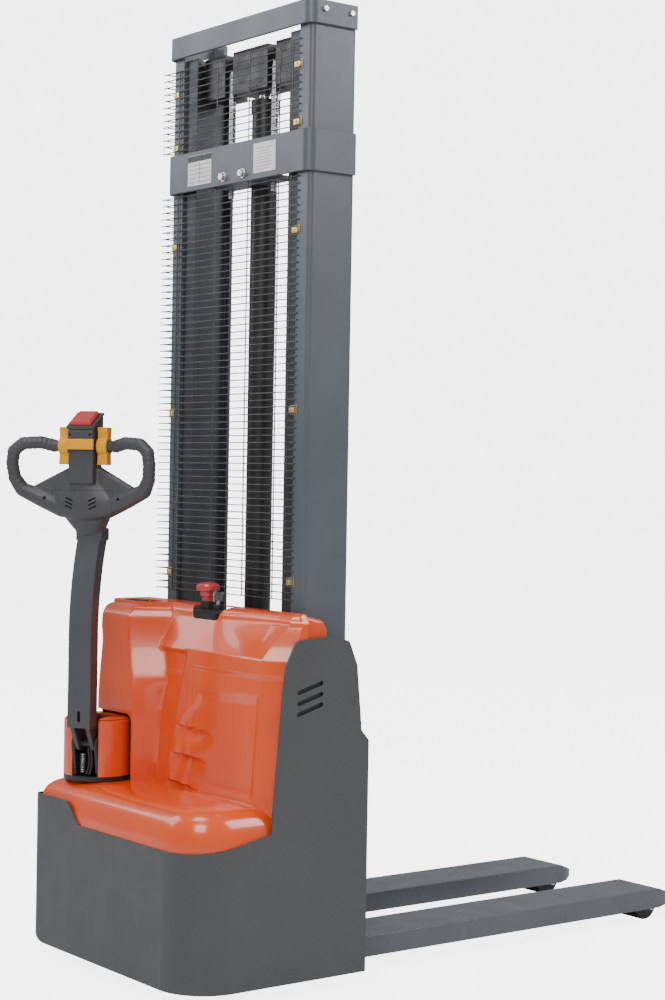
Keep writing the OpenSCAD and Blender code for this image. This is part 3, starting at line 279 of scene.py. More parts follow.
def addPiece(name, mesh, finish, body, replaced=()):
    mesh.materials.clear()
    mesh.materials.append(coat(finish))
    piece = bpy.data.objects.new(name, mesh)
    bpy.context.scene.collection.objects.link(piece)
    if body:
        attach(piece, body)
    if replaced:
        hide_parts(*replaced)
    return piece


def cleanCopy(node):
    shape = bmesh.new()
    shape.from_mesh(frame["nodes"][node].data)
    bmesh.ops.remove_doubles(shape, verts=shape.verts, dist=2e-5)
    bmesh.ops.dissolve_limit(shape, angle_limit=math.radians(1), verts=shape.verts,
                             edges=shape.edges)
    return shape


def toMesh(shape, name):
    mesh = bpy.data.meshes.new(name)
    shape.to_mesh(mesh)
    shape.free()
    return mesh


def smoothFaces(mesh, sharp=40):
    mesh.polygons.foreach_set("use_smooth", [True] * len(mesh.polygons))
    mesh.set_sharp_from_angle(angle=math.radians(sharp))
    return mesh


def evaluatedMesh(holder, name):
    bpy.context.view_layer.update()
    graph = bpy.context.evaluated_depsgraph_get()
    mesh = bpy.data.meshes.new_from_object(holder.evaluated_get(graph), depsgraph=graph)
    mesh.name = name
    return mesh


easing = {"sharp": 32, "evenness": 80}   # degrees from which an edge is rounded; weight of big faces


def bevelled(piece, width, steps=2):
    piece.data.polygons.foreach_set("use_smooth", [True] * len(piece.data.polygons))
    rounding = piece.modifiers.new("roundedEdges", "BEVEL")
    rounding.width = width
    rounding.segments = steps
    rounding.limit_method = "ANGLE"
    rounding.angle_limit = math.radians(easing["sharp"])
    even = piece.modifiers.new("evenNormals", "WEIGHTED_NORMAL")
    even.weight = easing["evenness"]
    even.keep_sharp = True
    old = piece.data
    piece.data = evaluatedMesh(piece, old.name)
    piece.modifiers.clear()
    bpy.data.meshes.remove(old)
    return piece


def finishedNode(node, finish, width):
    mesh = toMesh(cleanCopy(node), node + "Shape")
    bevelled(addPiece(node + "_finished", mesh, finish, bodyOf[node], [node]), width)


def scratchObject(mesh):
    holder = bpy.data.objects.new("scratch", mesh)
    bpy.context.scene.collection.objects.link(holder)
    return holder


def discard(holder):
    mesh = holder.data
    bpy.data.objects.remove(holder)
    if mesh.users == 0:
        bpy.data.meshes.remove(mesh)


def cutMesh(mesh, cutter, mode="DIFFERENCE"):
    body, tool = scratchObject(mesh), scratchObject(cutter)
    cut = body.modifiers.new("cut", "BOOLEAN")
    cut.operation = mode
    cut.solver = "EXACT"
    cut.object = tool
    result = evaluatedMesh(body, mesh.name)
    discard(body)
    discard(tool)
    return result


def prism(outline, low, high, axis):
    # outline in the two remaining axes' order, drawn out along axis from low to high
    shape = bmesh.new()
    place = {"x": lambda a, b, c: (c, a, b), "y": lambda a, b, c: (a, c, b),
             "z": lambda a, b, c: (a, b, c)}[axis]
    rings = [[shape.verts.new(place(a, b, c)) for a, b in outline] for c in (low, high)]
    n = len(outline)
    for i in range(n):
        j = (i + 1) % n
        shape.faces.new((rings[0][i], rings[0][j], rings[1][j], rings[1][i]))
    shape.faces.new(rings[0][::-1])
    shape.faces.new(rings[1])
    bmesh.ops.recalc_face_normals(shape, faces=shape.faces)
    return shape


def boxMesh(low, high):
    return toMesh(prism([(low[0], low[1]), (high[0], low[1]), (high[0], high[1]),
                         (low[0], high[1])], low[2], high[2], "z"), "box")


def slotOutline(centreA, centreB, length, width, tilt, steps=8):
    # a slot with round ends, turned by tilt degrees
    points = []
    t = math.radians(tilt)
    for end, start in ((1, -90), (-1, 90)):
        for i in range(steps + 1):
            turn = math.radians(start + 180 * i / steps)
            a = end * (length - width) / 2 + width / 2 * math.cos(turn)
            b = width / 2 * math.sin(turn)
            points.append((centreA + a * math.cos(t) - b * math.sin(t),
                           centreB + a * math.sin(t) + b * math.cos(t)))
    return points


def lathe(profile, centre, steps=48):
    # profile: (radius, height) pairs; turned about a vertical line through centre
    shape = bmesh.new()
    rings = []
    for r, h in profile:
        if r < 1e-6:
            rings.append([shape.verts.new((centre[0], centre[1], centre[2] + h))])
        else:
            rings.append([shape.verts.new((centre[0] + r * math.cos(2 * math.pi * k / steps),
                                           centre[1] + r * math.sin(2 * math.pi * k / steps),
                                           centre[2] + h)) for k in range(steps)])
    for lower, upper in zip(rings, rings[1:]):
        for k in range(steps):
            j = (k + 1) % steps
            if len(lower) == 1:
                shape.faces.new((lower[0], upper[j], upper[k]))
            elif len(upper) == 1:
                shape.faces.new((lower[k], lower[j], upper[0]))
            else:
                shape.faces.new((lower[k], lower[j], upper[j], upper[k]))
    bmesh.ops.recalc_face_normals(shape, faces=shape.faces)
    return shape


# Geometry Nodes helpers


def newTree(name, inputs):
    tree = bpy.data.node_groups.new(name, "GeometryNodeTree")
    tree.interface.new_socket("Geometry", in_out="INPUT", socket_type="NodeSocketGeometry")
    for label, kind in inputs:
        tree.interface.new_socket(label, in_out="INPUT", socket_type="NodeSocket" + kind)
    tree.interface.new_socket("Geometry", in_out="OUTPUT", socket_type="NodeSocketGeometry")
    start = tree.nodes.new("NodeGroupInput")
    end = tree.nodes.new("NodeGroupOutput")
    return tree, start, end


def closeTree(tree, end, geometry, start):
    # every tree ends by making its copies real and giving them their finish
    real = tree.nodes.new("GeometryNodeRealizeInstances")
    paint = tree.nodes.new("GeometryNodeSetMaterial")
    tree.links.new(geometry, real.inputs[0])
    tree.links.new(real.outputs[0], paint.inputs["Geometry"])
    tree.links.new(start.outputs["Finish"], paint.inputs["Material"])
    tree.links.new(paint.outputs[0], end.inputs[0])


def grown(tree, seedMesh, values, name):
    holder = scratchObject(seedMesh)
    maker = holder.modifiers.new("maker", "NODES")
    maker.node_group = tree
    for item in tree.interface.items_tree:
        if item.in_out == "INPUT" and item.name in values:
            maker[item.identifier] = values[item.name]
    mesh = evaluatedMesh(holder, name)
    holder.modifiers.remove(maker)
    discard(holder)
    return mesh


def rowTree():
    # repeats the seed mesh along a straight line
    tree, start, end = newTree("repeatAlongLine", [("Count", "Int"), ("Step", "Vector"),
                                                   ("First", "Vector"), ("Finish", "Material")])
    line = tree.nodes.new("GeometryNodeMeshLine")
    line.mode = "OFFSET"
    tree.links.new(start.outputs["Count"], line.inputs["Count"])
    tree.links.new(start.outputs["First"], line.inputs["Start Location"])
    tree.links.new(start.outputs["Step"], line.inputs["Offset"])
    copies = tree.nodes.new("GeometryNodeInstanceOnPoints")
    tree.links.new(line.outputs["Mesh"], copies.inputs["Points"])
    tree.links.new(start.outputs["Geometry"], copies.inputs["Instance"])
    closeTree(tree, end, copies.outputs["Instances"], start)
    return tree


def pathTubeTree():
    # a round wire or hose along every edge path of the seed mesh, repeated along a line
    tree, start, end = newTree("tubeAlongPath", [("Count", "Int"), ("Step", "Vector"),
                                                 ("Radius", "Float"), ("Sides", "Int"),
                                                 ("Finish", "Material")])
    path = tree.nodes.new("GeometryNodeMeshToCurve")
    ring = tree.nodes.new("GeometryNodeCurvePrimitiveCircle")
    tube = tree.nodes.new("GeometryNodeCurveToMesh")
    tube.inputs["Fill Caps"].default_value = True
    line = tree.nodes.new("GeometryNodeMeshLine")
    line.mode = "OFFSET"
    copies = tree.nodes.new("GeometryNodeInstanceOnPoints")
    shade = tree.nodes.new("GeometryNodeSetShadeSmooth")
    tree.links.new(start.outputs["Geometry"], path.inputs["Mesh"])
    tree.links.new(start.outputs["Sides"], ring.inputs["Resolution"])
    tree.links.new(start.outputs["Radius"], ring.inputs["Radius"])
    tree.links.new(path.outputs["Curve"], tube.inputs["Curve"])
    tree.links.new(ring.outputs["Curve"], tube.inputs["Profile Curve"])
    tree.links.new(tube.outputs["Mesh"], shade.inputs["Geometry"])
    tree.links.new(start.outputs["Count"], line.inputs["Count"])
    tree.links.new(start.outputs["Step"], line.inputs["Offset"])
    tree.links.new(line.outputs["Mesh"], copies.inputs["Points"])
    tree.links.new(shade.outputs["Geometry"], copies.inputs["Instance"])
    closeTree(tree, end, copies.outputs["Instances"], start)
    return tree


def pointsTree():
    # stands a copy of the seed mesh on each point, turned to the point's own normal
    tree, start, end = newTree("fittingsOnPoints", [("Points", "Object"),
                                                    ("Finish", "Material")])
    info = tree.nodes.new("GeometryNodeObjectInfo")
    copies = tree.nodes.new("GeometryNodeInstanceOnPoints")
    facing = tree.nodes.new("FunctionNodeAlignRotationToVector")
    facing.axis = "Z"
    aim = tree.nodes.new("GeometryNodeInputNamedAttribute")
    aim.data_type = "FLOAT_VECTOR"
    aim.inputs["Name"].default_value = "aim"
    tree.links.new(start.outputs["Points"], info.inputs["Object"])
    tree.links.new(info.outputs["Geometry"], copies.inputs["Points"])
    tree.links.new(aim.outputs["Attribute"], facing.inputs["Vector"])
    tree.links.new(facing.outputs["Rotation"], copies.inputs["Rotation"])
    tree.links.new(start.outputs["Geometry"], copies.inputs["Instance"])
    closeTree(tree, end, copies.outputs["Instances"], start)
    return tree


rowMaker, tubeMaker, fittingMaker = rowTree(), pathTubeTree(), pointsTree()


def pathMesh(paths, name):
    mesh = bpy.data.meshes.new(name)
    points, edges = [], []
    for path in paths:
        first = len(points)
        points += [tuple(p) for p in path]
        edges += [(first + i, first + i + 1) for i in range(len(path) - 1)]
    mesh.from_pydata(points, edges, [])
    return mesh


def tubes(paths, radius, finish, name, sides=8, count=1, step=(0, 0, 0)):
    return grown(tubeMaker, pathMesh(paths, name + "Path"),
                 {"Count": count, "Step": step, "Radius": radius, "Sides": sides,
                  "Finish": coat(finish)}, name)


def fittings(seed, spots, finish, name):
    # spots: (place, direction it faces)
    cloud = bpy.data.meshes.new(name + "Spots")
    cloud.from_pydata([place for place, aim in spots], [], [])
    facing = cloud.attributes.new("aim", "FLOAT_VECTOR", "POINT")
    for i, (place, aim) in enumerate(spots):
        facing.data[i].vector = aim
    points = scratchObject(cloud)
    mesh = grown(fittingMaker, seed, {"Points": points, "Finish": coat(finish)}, name)
    discard(points)
    return mesh


def curvePoints(corners, steps=10):
    # a smooth path through the corners
    points = []
    for i in range(len(corners) - 1):
        p = [Vector(corners[max(min(i + k, len(corners) - 1), 0)]) for k in (-1, 0, 1, 2)]
        for s in range(steps):
            t = s / steps
            points.append(0.5 * ((2 * p[1]) + (p[2] - p[0]) * t
                                 + (2 * p[0] - 5 * p[1] + 4 * p[2] - p[3]) * t * t
                                 + (3 * p[1] - p[0] - 3 * p[2] + p[3]) * t ** 3))
    return points + [Vector(corners[-1])]


def boltMesh(acrossFlats, height, washer=0.0):
    # hexagon head on a washer, standing on z = 0
    shape = bmesh.new()
    r = acrossFlats / math.sqrt(3)
    base = 0.0
    if washer:
        disc = lathe([(0, 0), (washer, 0), (washer, height * 0.28), (0, height * 0.28)],
                     (0, 0, 0), 20)
        shape.from_mesh(toMesh(disc, "washer"))
        base = height * 0.28
    levels = [(r, base), (r, base + height * 0.82), (r * 0.88, base + height)]
    rings = [[shape.verts.new((a * math.cos(math.pi * k / 3), a * math.sin(math.pi * k / 3), h))
              for k in range(6)] for a, h in levels]
    for low, high in zip(rings, rings[1:]):
        for k in range(6):
            shape.faces.new((low[k], low[(k + 1) % 6], high[(k + 1) % 6], high[k]))
    shape.faces.new(rings[0][::-1])
    shape.faces.new(rings[-1])
    return toMesh(shape, "boltHead")


def screwMesh(radius, height):
    # pan head with a cross recess, standing on z = 0
    dome = lathe([(0, 0), (radius, 0), (radius, height * 0.4), (radius * 0.85, height * 0.8),
                  (radius * 0.5, height), (0, height)], (0, 0, 0), 20)
    mesh = toMesh(dome, "screwHead")
    arm, half = radius * 0.55, radius * 0.13
    cross = [(-arm, -half), (-half, -half), (-half, -arm), (half, -arm), (half, -half),
             (arm, -half), (arm, half), (half, half), (half, arm), (-half, arm), (-half, half),
             (-arm, half)]
    return cutMesh(mesh, toMesh(prism(cross, height * 0.45, height * 1.2, "z"), "recess"))


def smoothstep(low, high, value):
    t = min(max((value - low) / (high - low), 0.0), 1.0)
    return t * t * (3 - 2 * t)


makeCamera()
makeStudio()
print("camera and studio set")

# hood: front, sloped band and top in one sheet, with the block above the hub

hood = {
    "side": cadBox[1][0] - 0.0054,   # half width of the moulding
    "foot": 0.386,                   # height of its lower edge
    "front": -0.5823,                # foot of the front face, along Y
    "lean": 0.027,                   # how far the face leans back
    "faceTop": 0.776,
    "bandTop": 0.858,
    "bandRun": 0.060,
    "top": 0.884,
    "back": -0.4563,                 # rear edge, in front of the mast
    "blockLeft": -0.331,             # block above the hub
    "blockRight": -0.141,
    "blockFront": -0.6273,
    "niche": (-0.340, -0.146, 0.608),  # left, right and top of the hub's niche
    "wall": 0.0035,
    "deepest": -0.5515,                # the face stays in front of the battery
    "switchWell": (0.020, -0.4923, 0.149, 0.065),
    "trayWell": (-0.237, -0.5413, 0.130, 0.068),
    "wellFloors": (0.846, 0.84),       # where the two wells start, in height
    "ventSpace": ((-0.4, -0.500, 0.63), (0.4, -0.440, 0.75)),
    "shoulder": (0.308, 0.010),        # inner face, and how far in from the side
    "shoulderBack": -0.392,
}
face = {
    "valley": 0.010,                   # depth beside the block
    "edge": (-0.079, 0.438, 0.062 / 0.303),   # left border of the panel: X at this height, slope
    "field": 0.006,                    # depth of the pressed-in field, and where it ends
    "fieldTop": 0.676,
    "fieldRight": (0.306, 0.285),
    "step": 0.004,
    "stepTop": 0.735,
    "scoop": 0.013,
    "scoopTops": (0.592, 0.524, 0.456),
    "scoopLong": 0.165,
    "scoopTall": 0.045,
}


def hoodFront(z, x=0.30):
    h = hood
    run = h["bandRun"] * (0.55 + 0.45 * smoothstep(0.05, 0.30, x))
    if z <= h["faceTop"]:
        return h["front"] + h["lean"] * max(z - h["foot"], 0) / (h["faceTop"] - h["foot"])
    if z <= h["bandTop"]:
        t = (z - h["faceTop"]) / (h["bandTop"] - h["faceTop"])
        return h["front"] + h["lean"] + run * t
    t = min((z - h["bandTop"]) / (h["top"] - h["bandTop"]), 1.0)
    return h["front"] + h["lean"] + run + 0.022 * (1 - math.sqrt(1 - t * t))


def blockFront(x, z):
    # the raised block: upright front, rolled top, and one slanted facet down its right side
    h = hood
    y = h["blockFront"] + 0.014 * smoothstep(0.62, 0.86, z)
    if z > 0.836:
        t = min((z - 0.836) / 0.040, 1.0)
        y += 0.034 * (1 - math.sqrt(1 - t * t))
    corner = h["blockRight"] - 0.050 * smoothstep(0.60, 0.86, z)
    y += max(x - corner, 0) * (1.25 + 2.0 * smoothstep(0.70, 0.60, z))
    y += 0.9 * max(h["blockLeft"] + 0.014 - x, 0)
    return y


def faceRelief(x, z):
    # how far the face is pressed in: a valley beside the block, the main panel, its step
    # and three scoops that run out to the right
    f = face
    if z > hood["faceTop"] + 0.002:
        return 0.0
    inFace = smoothstep(hood["faceTop"], hood["faceTop"] - 0.012, z)
    edge = f["edge"][0] + f["edge"][2] * (z - f["edge"][1])
    deep = f["valley"] * (1 - smoothstep(edge - 0.012, edge + 0.006, x))
    lip = f["fieldTop"] + 0.05 * (x - 0.013)
    field = smoothstep(lip + 0.010, lip - 0.022, z) * smoothstep(*f["fieldRight"], x)
    border = edge + 0.030 + 0.045 * smoothstep(0.60, 0.66, z)
    inside = smoothstep(border - 0.006, border + 0.020, x)
    deep += f["field"] * field * inside * smoothstep(0.445, 0.47, z)
    deep += (f["step"] * smoothstep(f["stepTop"] + 0.008, f["stepTop"] - 0.004, z)
             * smoothstep(0.006, 0.022, x))
    for top in f["scoopTops"]:                         # each lies under a lit edge
        run = (x - edge - 0.012) / f["scoopLong"]
        below = top - 0.012 * run - z
        if 0 <= run <= 1 and -0.004 < below < f["scoopTall"]:
            scoop = smoothstep(-0.004, 0.002, below) * (1 - below / f["scoopTall"])
            deep += (f["scoop"] * scoop * smoothstep(0, 0.16, run)
                     * (1 - smoothstep(0.3, 1, run)))
    return deep * inFace


def hoodPoint(x, z):
    y = hoodFront(z, x) + faceRelief(x, z)
    if z < 0.74:
        y = min(y, hood["deepest"] + 0.010 * smoothstep(0.715, 0.74, z))
    return min(y, max(blockFront(x, z), hood["blockFront"])) if x < 0.02 else y


def makeHood():
    h = hood
    shape = bmesh.new()
    levels = [h["foot"] + (h["top"] - h["foot"]) * k / 125 for k in range(126)]
    fronts = [-0.306 + 0.612 * i / 170 for i in range(171)]
    rows = []
    for z in levels:
        t = smoothstep(h["faceTop"], h["top"], z)
        cut = 0.048 - 0.032 * t
        inset = 0.012 * smoothstep(h["bandTop"], h["top"], z)
        side = h["side"] - inset
        edge = side - cut
        row = []
        yLeft, yRight = hoodPoint(-edge, z), hoodPoint(edge, z)
        for k in range(7):                              # left side, from the rear
            row.append((-side, h["back"] + (yLeft + cut - h["back"]) * k / 6, z))
        for k in range(1, 5):                           # left corner
            row.append((-side + (side - edge) * k / 5, yLeft + cut * (1 - k / 5), z))
        for x in fronts:
            x2 = x * edge / 0.306
            row.append((x2, hoodPoint(x2, z), z))
        for k in range(1, 5):
            row.append((edge + (side - edge) * k / 5, yRight + cut * k / 5, z))
        for k in range(7):
            row.append((side, yRight + cut + (h["back"] - yRight - cut) * k / 6, z))
        rows.append(row)
    last = rows[-1]
    for k in range(1, 9):                               # the top, running back
        rows.append([(x, y + (h["back"] - y) * k / 8, z) for x, y, z in last])
    grid = [[shape.verts.new(p) for p in row] for row in rows]
    for low, high in zip(grid, grid[1:]):
        for i in range(len(low) - 1):
            shape.faces.new((low[i], low[i + 1], high[i + 1], high[i]))
    bmesh.ops.remove_doubles(shape, verts=shape.verts, dist=1e-5)
    bmesh.ops.dissolve_degenerate(shape, edges=shape.edges, dist=1e-6)
    return shape


def hoodWithOpenings():
    h = hood
    skin = toMesh(makeHood(), "hoodSkin")
    holder = scratchObject(skin)
    wall = holder.modifiers.new("wall", "SOLIDIFY")
    wall.thickness = h["wall"]
    wall.offset = -1
    mesh = evaluatedMesh(holder, "hoodWall")
    discard(holder)
    left, right, top = h["niche"]
    r = 0.022
    arch = [(left, 0.3), (right, 0.3)]
    arch += [(right - r + r * math.cos(a), top - r + r * math.sin(a))
             for a in (math.radians(15 * k) for k in range(7))]
    arch += [(left + r + r * math.cos(a), top - r + r * math.sin(a))
             for a in (math.radians(90 + 15 * k) for k in range(7))]
    mesh = cutMesh(mesh, toMesh(prism(arch, -0.80, -0.46, "y"), "niche"))
    for well, floor in zip(("switchWell", "trayWell"), hood["wellFloors"]):
        outline = slotOutline(*hood[well], 0, 12 if well == "switchWell" else 8)
        mesh = cutMesh(mesh, toMesh(prism(outline, floor, 0.95, "z"), well))
    return cutMesh(mesh, boxMesh(*hood["ventSpace"]))     # dark space behind the side vents


hoodMesh = smoothFaces(hoodWithOpenings(), 38)
addPiece("hood_cover", hoodMesh, "hoodOrange", "truck", ["hood"])
# the two shoulders beside the mast, which carry the cover on behind its rear edge
seam, tail = hood["back"] - 0.004, hood["shoulderBack"]
shoulder = [(seam, 0.79), (tail, 0.79), (tail, 0.846), (tail - 0.012, 0.868), (seam, 0.8795)]
for side, name in ((1, "hood_shoulder_right"), (-1, "hood_shoulder_left")):
    inner, inset = hood["shoulder"]
    low, high = sorted((side * inner, side * (hood["side"] - inset)))
    mesh = toMesh(prism(shoulder, low, high, "x"), "shoulderShape")
    bevelled(addPiece(name, mesh, "hoodOrange", "truck", ["hood"]), 0.010, 4)
print("hood made:", len(hoodMesh.polygons), "faces")


def islands(node):
    # lowest and highest corner of each separate solid in a CAD node
    shape = bmesh.new()
    shape.from_mesh(frame["nodes"][node].data)
    bmesh.ops.remove_doubles(shape, verts=shape.verts, dist=2e-5)
    seen, boxes = set(), []
    for first in shape.verts:
        if first in seen:
            continue
        seen.add(first)
        stack, points = [first], []
        while stack:
            vert = stack.pop()
            points.append(vert.co.copy())
            for edge in vert.link_edges:
                other = edge.other_vert(vert)
                if other not in seen:
                    seen.add(other)
                    stack.append(other)
        boxes.append(([min(p[i] for p in points) for i in range(3)],
                      [max(p[i] for p in points) for i in range(3)]))
    shape.free()
    return sorted(boxes)


# deck: a moulded step with a rolled edge and a round opening under the hub

deck = {
    "side": 0.36,
    "front": -0.7773,
    "rear": -0.5203,
    "rightRound": 0.12,
    "leftRound": 0.024,
    "edge": [(0.0056, 0.337), (0.0075, 0.372), (0.014, 0.401), (0.028, 0.424),
             (0.050, 0.438), (0.081, 0.4438)],
    "hub": (-0.24, -0.6633, 0.0715),
    "wall": 0.0035,
}


def deckRing(inset, z):
    d, points = deck, []
    for side, r0, turns in ((-1, d["leftRound"], range(180, 271, 15)),
                            (1, d["rightRound"], range(270, 361, 6))):
        r = max(r0 - inset, 0.004)
        cx = side * (d["side"] - max(r0, inset + 0.004))
        cy = d["front"] + max(r0, inset + 0.004)
        if side < 0:
            points += [(-d["side"] + inset, d["rear"] + (cy - d["rear"]) * k / 8, z)
                       for k in range(8)]
        points += [(cx + r * math.cos(math.radians(a)), cy + r * math.sin(math.radians(a)), z)
                   for a in turns]
        if side < 0:
            far = d["side"] - max(d["rightRound"], inset + 0.004)
            points += [(cx + (far - cx) * k / 24, d["front"] + inset, z) for k in range(1, 24)]
        else:
            points += [(d["side"] - inset, cy + (d["rear"] - cy) * k / 8, z)
                       for k in range(1, 9)]
    return points


def makeDeck():
    d = deck
    shape = bmesh.new()
    edge = curvePoints([(0, a, b) for a, b in d["edge"]], 5)
    rings = [[shape.verts.new(p) for p in deckRing(v.y, v.z)] for v in edge]
    for low, high in zip(rings, rings[1:]):
        for i in range(len(low) - 1):
            shape.faces.new((low[i], low[i + 1], high[i + 1], high[i]))
    top = rings[-1]
    hx, hy, hr = d["hub"]
    hole = [shape.verts.new((hx + hr * math.cos(2 * math.pi * k / 48),
                             hy + hr * math.sin(2 * math.pi * k / 48), d["edge"][-1][1]))
            for k in range(48)]
    shape.edges.ensure_lookup_table()
    rim = [shape.edges.get((a, b)) for a, b in zip(top, top[1:])]
    rim.append(shape.edges.new((top[-1], top[0])))
    rim += [shape.edges.new((a, b)) for a, b in zip(hole, hole[1:] + hole[:1])]
    bmesh.ops.triangle_fill(shape, use_beauty=True, edges=rim)
    bmesh.ops.remove_doubles(shape, verts=shape.verts, dist=1e-5)
    bmesh.ops.recalc_face_normals(shape, faces=shape.faces)
    if sum(f.normal.z for f in shape.faces) < 0:
        bmesh.ops.reverse_faces(shape, faces=shape.faces)
    holder = scratchObject(toMesh(shape, "deckSkin"))
    wall = holder.modifiers.new("wall", "SOLIDIFY")
    wall.thickness = d["wall"]
    wall.offset = -1
    mesh = evaluatedMesh(holder, "deckWall")
    discard(holder)
    return smoothFaces(mesh, 38)


addPiece("deck_step", makeDeck(), "hoodOrange", "truck", ["deck_cover"])
print("deck made")

# side plates and apron, with slanted vents

vents = {"y": -0.4523, "tops": (0.713, 0.6875, 0.663), "long": 0.078, "wide": 0.011, "tilt": 17,
         "shadeSheet": ((0.3515, -0.497, 0.634), (0.3535, -0.408, 0.746))}  # black sheet behind them: painted shade seen through the slots


def makeApron():
    mesh = toMesh(cleanCopy("body_apron"), "apronShape")
    for z in vents["tops"]:
        outline = slotOutline(vents["y"], z, vents["long"], vents["wide"], vents["tilt"])
        mesh = cutMesh(mesh, toMesh(prism(outline, -0.5, 0.5, "x"), "vent"))
    shape = bmesh.new()
    shape.from_mesh(mesh)
    bmesh.ops.remove_doubles(shape, verts=shape.verts, dist=2e-5)
    return toMesh(shape, "apronVented")


bevelled(addPiece("apron_plates", makeApron(), "apronCoat", "truck",
                  ["body_apron"]), 0.0011, 1)
# black sheets behind the side vents, standing in for the shade inside the body: painted shade
shadeSheet = bmesh.new()
near, far = vents["shadeSheet"]
shadeSheet.from_mesh(boxMesh(near, far))
shadeSheet.from_mesh(boxMesh((-far[0], *near[1:]), (-near[0], *far[1:])))
addPiece("vent_liners", toMesh(shadeSheet, "ventLiners"), "blackPlastic", "truck")
print("apron made")

# tiller frame: where the tiller's own pieces are placed

tiller = {"axis": (-0.24, -0.6633), "turn": 35}
tillerPlace = (Matrix.Translation((*tiller["axis"], 0))
               @ Matrix.Rotation(math.radians(tiller["turn"]), 4, "Z"))

# tiller head: moulded shells, ringed grips, vents and screw wells

head = {
    "voxel": 0.0024,
    "smooth": 5,
    "barAhead": 0.104,
    "barHeight": cadBox[0][2] + 1.26857,
    "gripRadius": 0.016,
    "grooveStep": 0.0125,
    "grooveDeep": 0.0011,
    "ventTilt": 24,
    "blockTop": 0.078,     # rear edge of the top block, and how far its front edge is below it
    "blockDrop": 0.0393,
    "blockHalf": 0.034,
    "blockTilt": 30,
}
gripPath = [(0.082, 0, 0), (0.112, -0.014, 0.008), (0.156, -0.025, 0.005),
            (0.178, -0.030, -0.014), (0.182, -0.029, -0.045), (0.178, -0.022, -0.080),
            (0.162, -0.012, -0.108)]


def alongGrip(point, path):
    best = (1.0, 0.0, point)
    run = 0.0
    for a, b in zip(path, path[1:]):
        step = b - a
        t = min(max((point - a).dot(step) / step.length_squared, 0), 1)
        near = a + step * t
        gap = (point - near).length
        if gap < best[0]:
            best = (gap, run + step.length * t, near)
        run += step.length
    return best


def ball(shape, place, size):
    # a rough ellipsoid; size holds its three half axes
    made = bmesh.ops.create_icosphere(shape, subdivisions=3, radius=1)
    for vert in made["verts"]:
        vert.co = Vector(place) + Vector([a * b for a, b in zip(vert.co, size)])


def hullOf(balls):
    # convex skin round ellipsoids given as (place, half axes or one radius)
    shape = bmesh.new()
    for place, size in balls:
        ball(shape, place, size if isinstance(size, tuple) else (size,) * 3)
    made = bmesh.ops.convex_hull(shape, input=shape.verts)
    loose = [v for v in made["geom_interior"] if isinstance(v, bmesh.types.BMVert)]
    bmesh.ops.delete(shape, geom=loose, context="VERTS")
    bmesh.ops.delete(shape, geom=[f for f in made["geom_unused"]
                                  if isinstance(f, bmesh.types.BMFace)], context="FACES_ONLY")
    bmesh.ops.recalc_face_normals(shape, faces=shape.faces)
    return toMesh(shape, "hull")


def makeHeadSolid():
    # all places are counted from the grip bars' axis, X across, -Y towards the operator
    parts = [boxMesh((-0.033, -0.028, -0.092), (0.033, 0.028, 0.020)),
             boxMesh((-0.035, 0.026, -0.232), (0.035, 0.074, -0.200))]
    half, top = head["blockHalf"], head["blockTop"]
    block = prism([(-half, 0.016), (half, 0.016), (half, top), (-half, top - head["blockDrop"])],
                  -0.033, 0.033, "x")
    parts.append(toMesh(block, "topBlock"))
    parts.append(hullOf([((0, 0.016, -0.150), (0.070, 0.026, 0.050)),
                         ((0, 0.040, -0.214), (0.034, 0.022, 0.010))]))
    parts.append(hullOf([((0, 0.000, -0.140), (0.098, 0.026, 0.042)),
                         ((0, 0.004, -0.094), (0.042, 0.024, 0.022))]))
    for side in (1, -1):
        chains = [[(p, head["gripRadius"]) for p in gripPath],
                  [((0.026, 0, 0), 0.0135), ((0.084, -0.002, 0), 0.0135)],
                  [(gripPath[-2], 0.0165), (gripPath[-1], 0.0185), ((0.112, -0.002, -0.130),
                   0.0220), ((0.060, 0.006, -0.150), 0.0260)]]
        for links in chains:
            for a, b in zip(links, links[1:]):
                parts.append(hullOf([((side * p[0], p[1], p[2]), r) for p, r in (a, b)]))
        parts.append(hullOf([((side * x, y, z), r) for (x, y, z), r in (
            ((0.134, -0.006, -0.110), 0.010), ((0.034, 0.006, -0.060), 0.012),
            ((0.030, 0.006, -0.120), 0.018), ((0.096, 0.0, -0.130), 0.016))]))
    shape = bmesh.new()
    for part in parts:
        shape.from_mesh(part)
    return toMesh(shape, "headRough")


def meltedHead():
    holder = scratchObject(makeHeadSolid())
    blocks = holder.modifiers.new("blocks", "REMESH")
    blocks.mode = "VOXEL"
    blocks.voxel_size = head["voxel"]
    melt = holder.modifiers.new("melt", "SMOOTH")
    melt.factor = 0.6
    melt.iterations = head["smooth"]
    mesh = evaluatedMesh(holder, "headSmooth")
    discard(holder)
    paths = [[Vector((s * x, y, z)) for x, y, z in gripPath] for s in (1, -1)]
    for vert in mesh.vertices:
        if abs(vert.co.x) < 0.09 or vert.co.z < -0.10:
            continue
        gap, run, near = alongGrip(vert.co, paths[0 if vert.co.x > 0 else 1])
        if gap < 0.024:
            phase = (run % head["grooveStep"]) / head["grooveStep"]
            depth = head["grooveDeep"] * smoothstep(0.20, 0.04, abs(phase - 0.5))
            vert.co -= (vert.co - near).normalized() * depth
    mesh.transform(headPlace)
    return mesh


def coverSpace(grow):
    # room that the front cover takes, counted like the head's own places
    z, y = -0.208, 0.034 + grow
    outline = [(y - 0.3, z - 0.1), (y + 0.006, z - 0.1), (y + 0.006, z),
               (y - 0.022, z + 0.1 + grow), (y - 0.3, z + 0.1 + grow)]
    mesh = toMesh(prism(outline, -0.08 - grow, 0.08 + grow, "x"), "coverSpace")
    mesh.transform(headPlace)
    return mesh


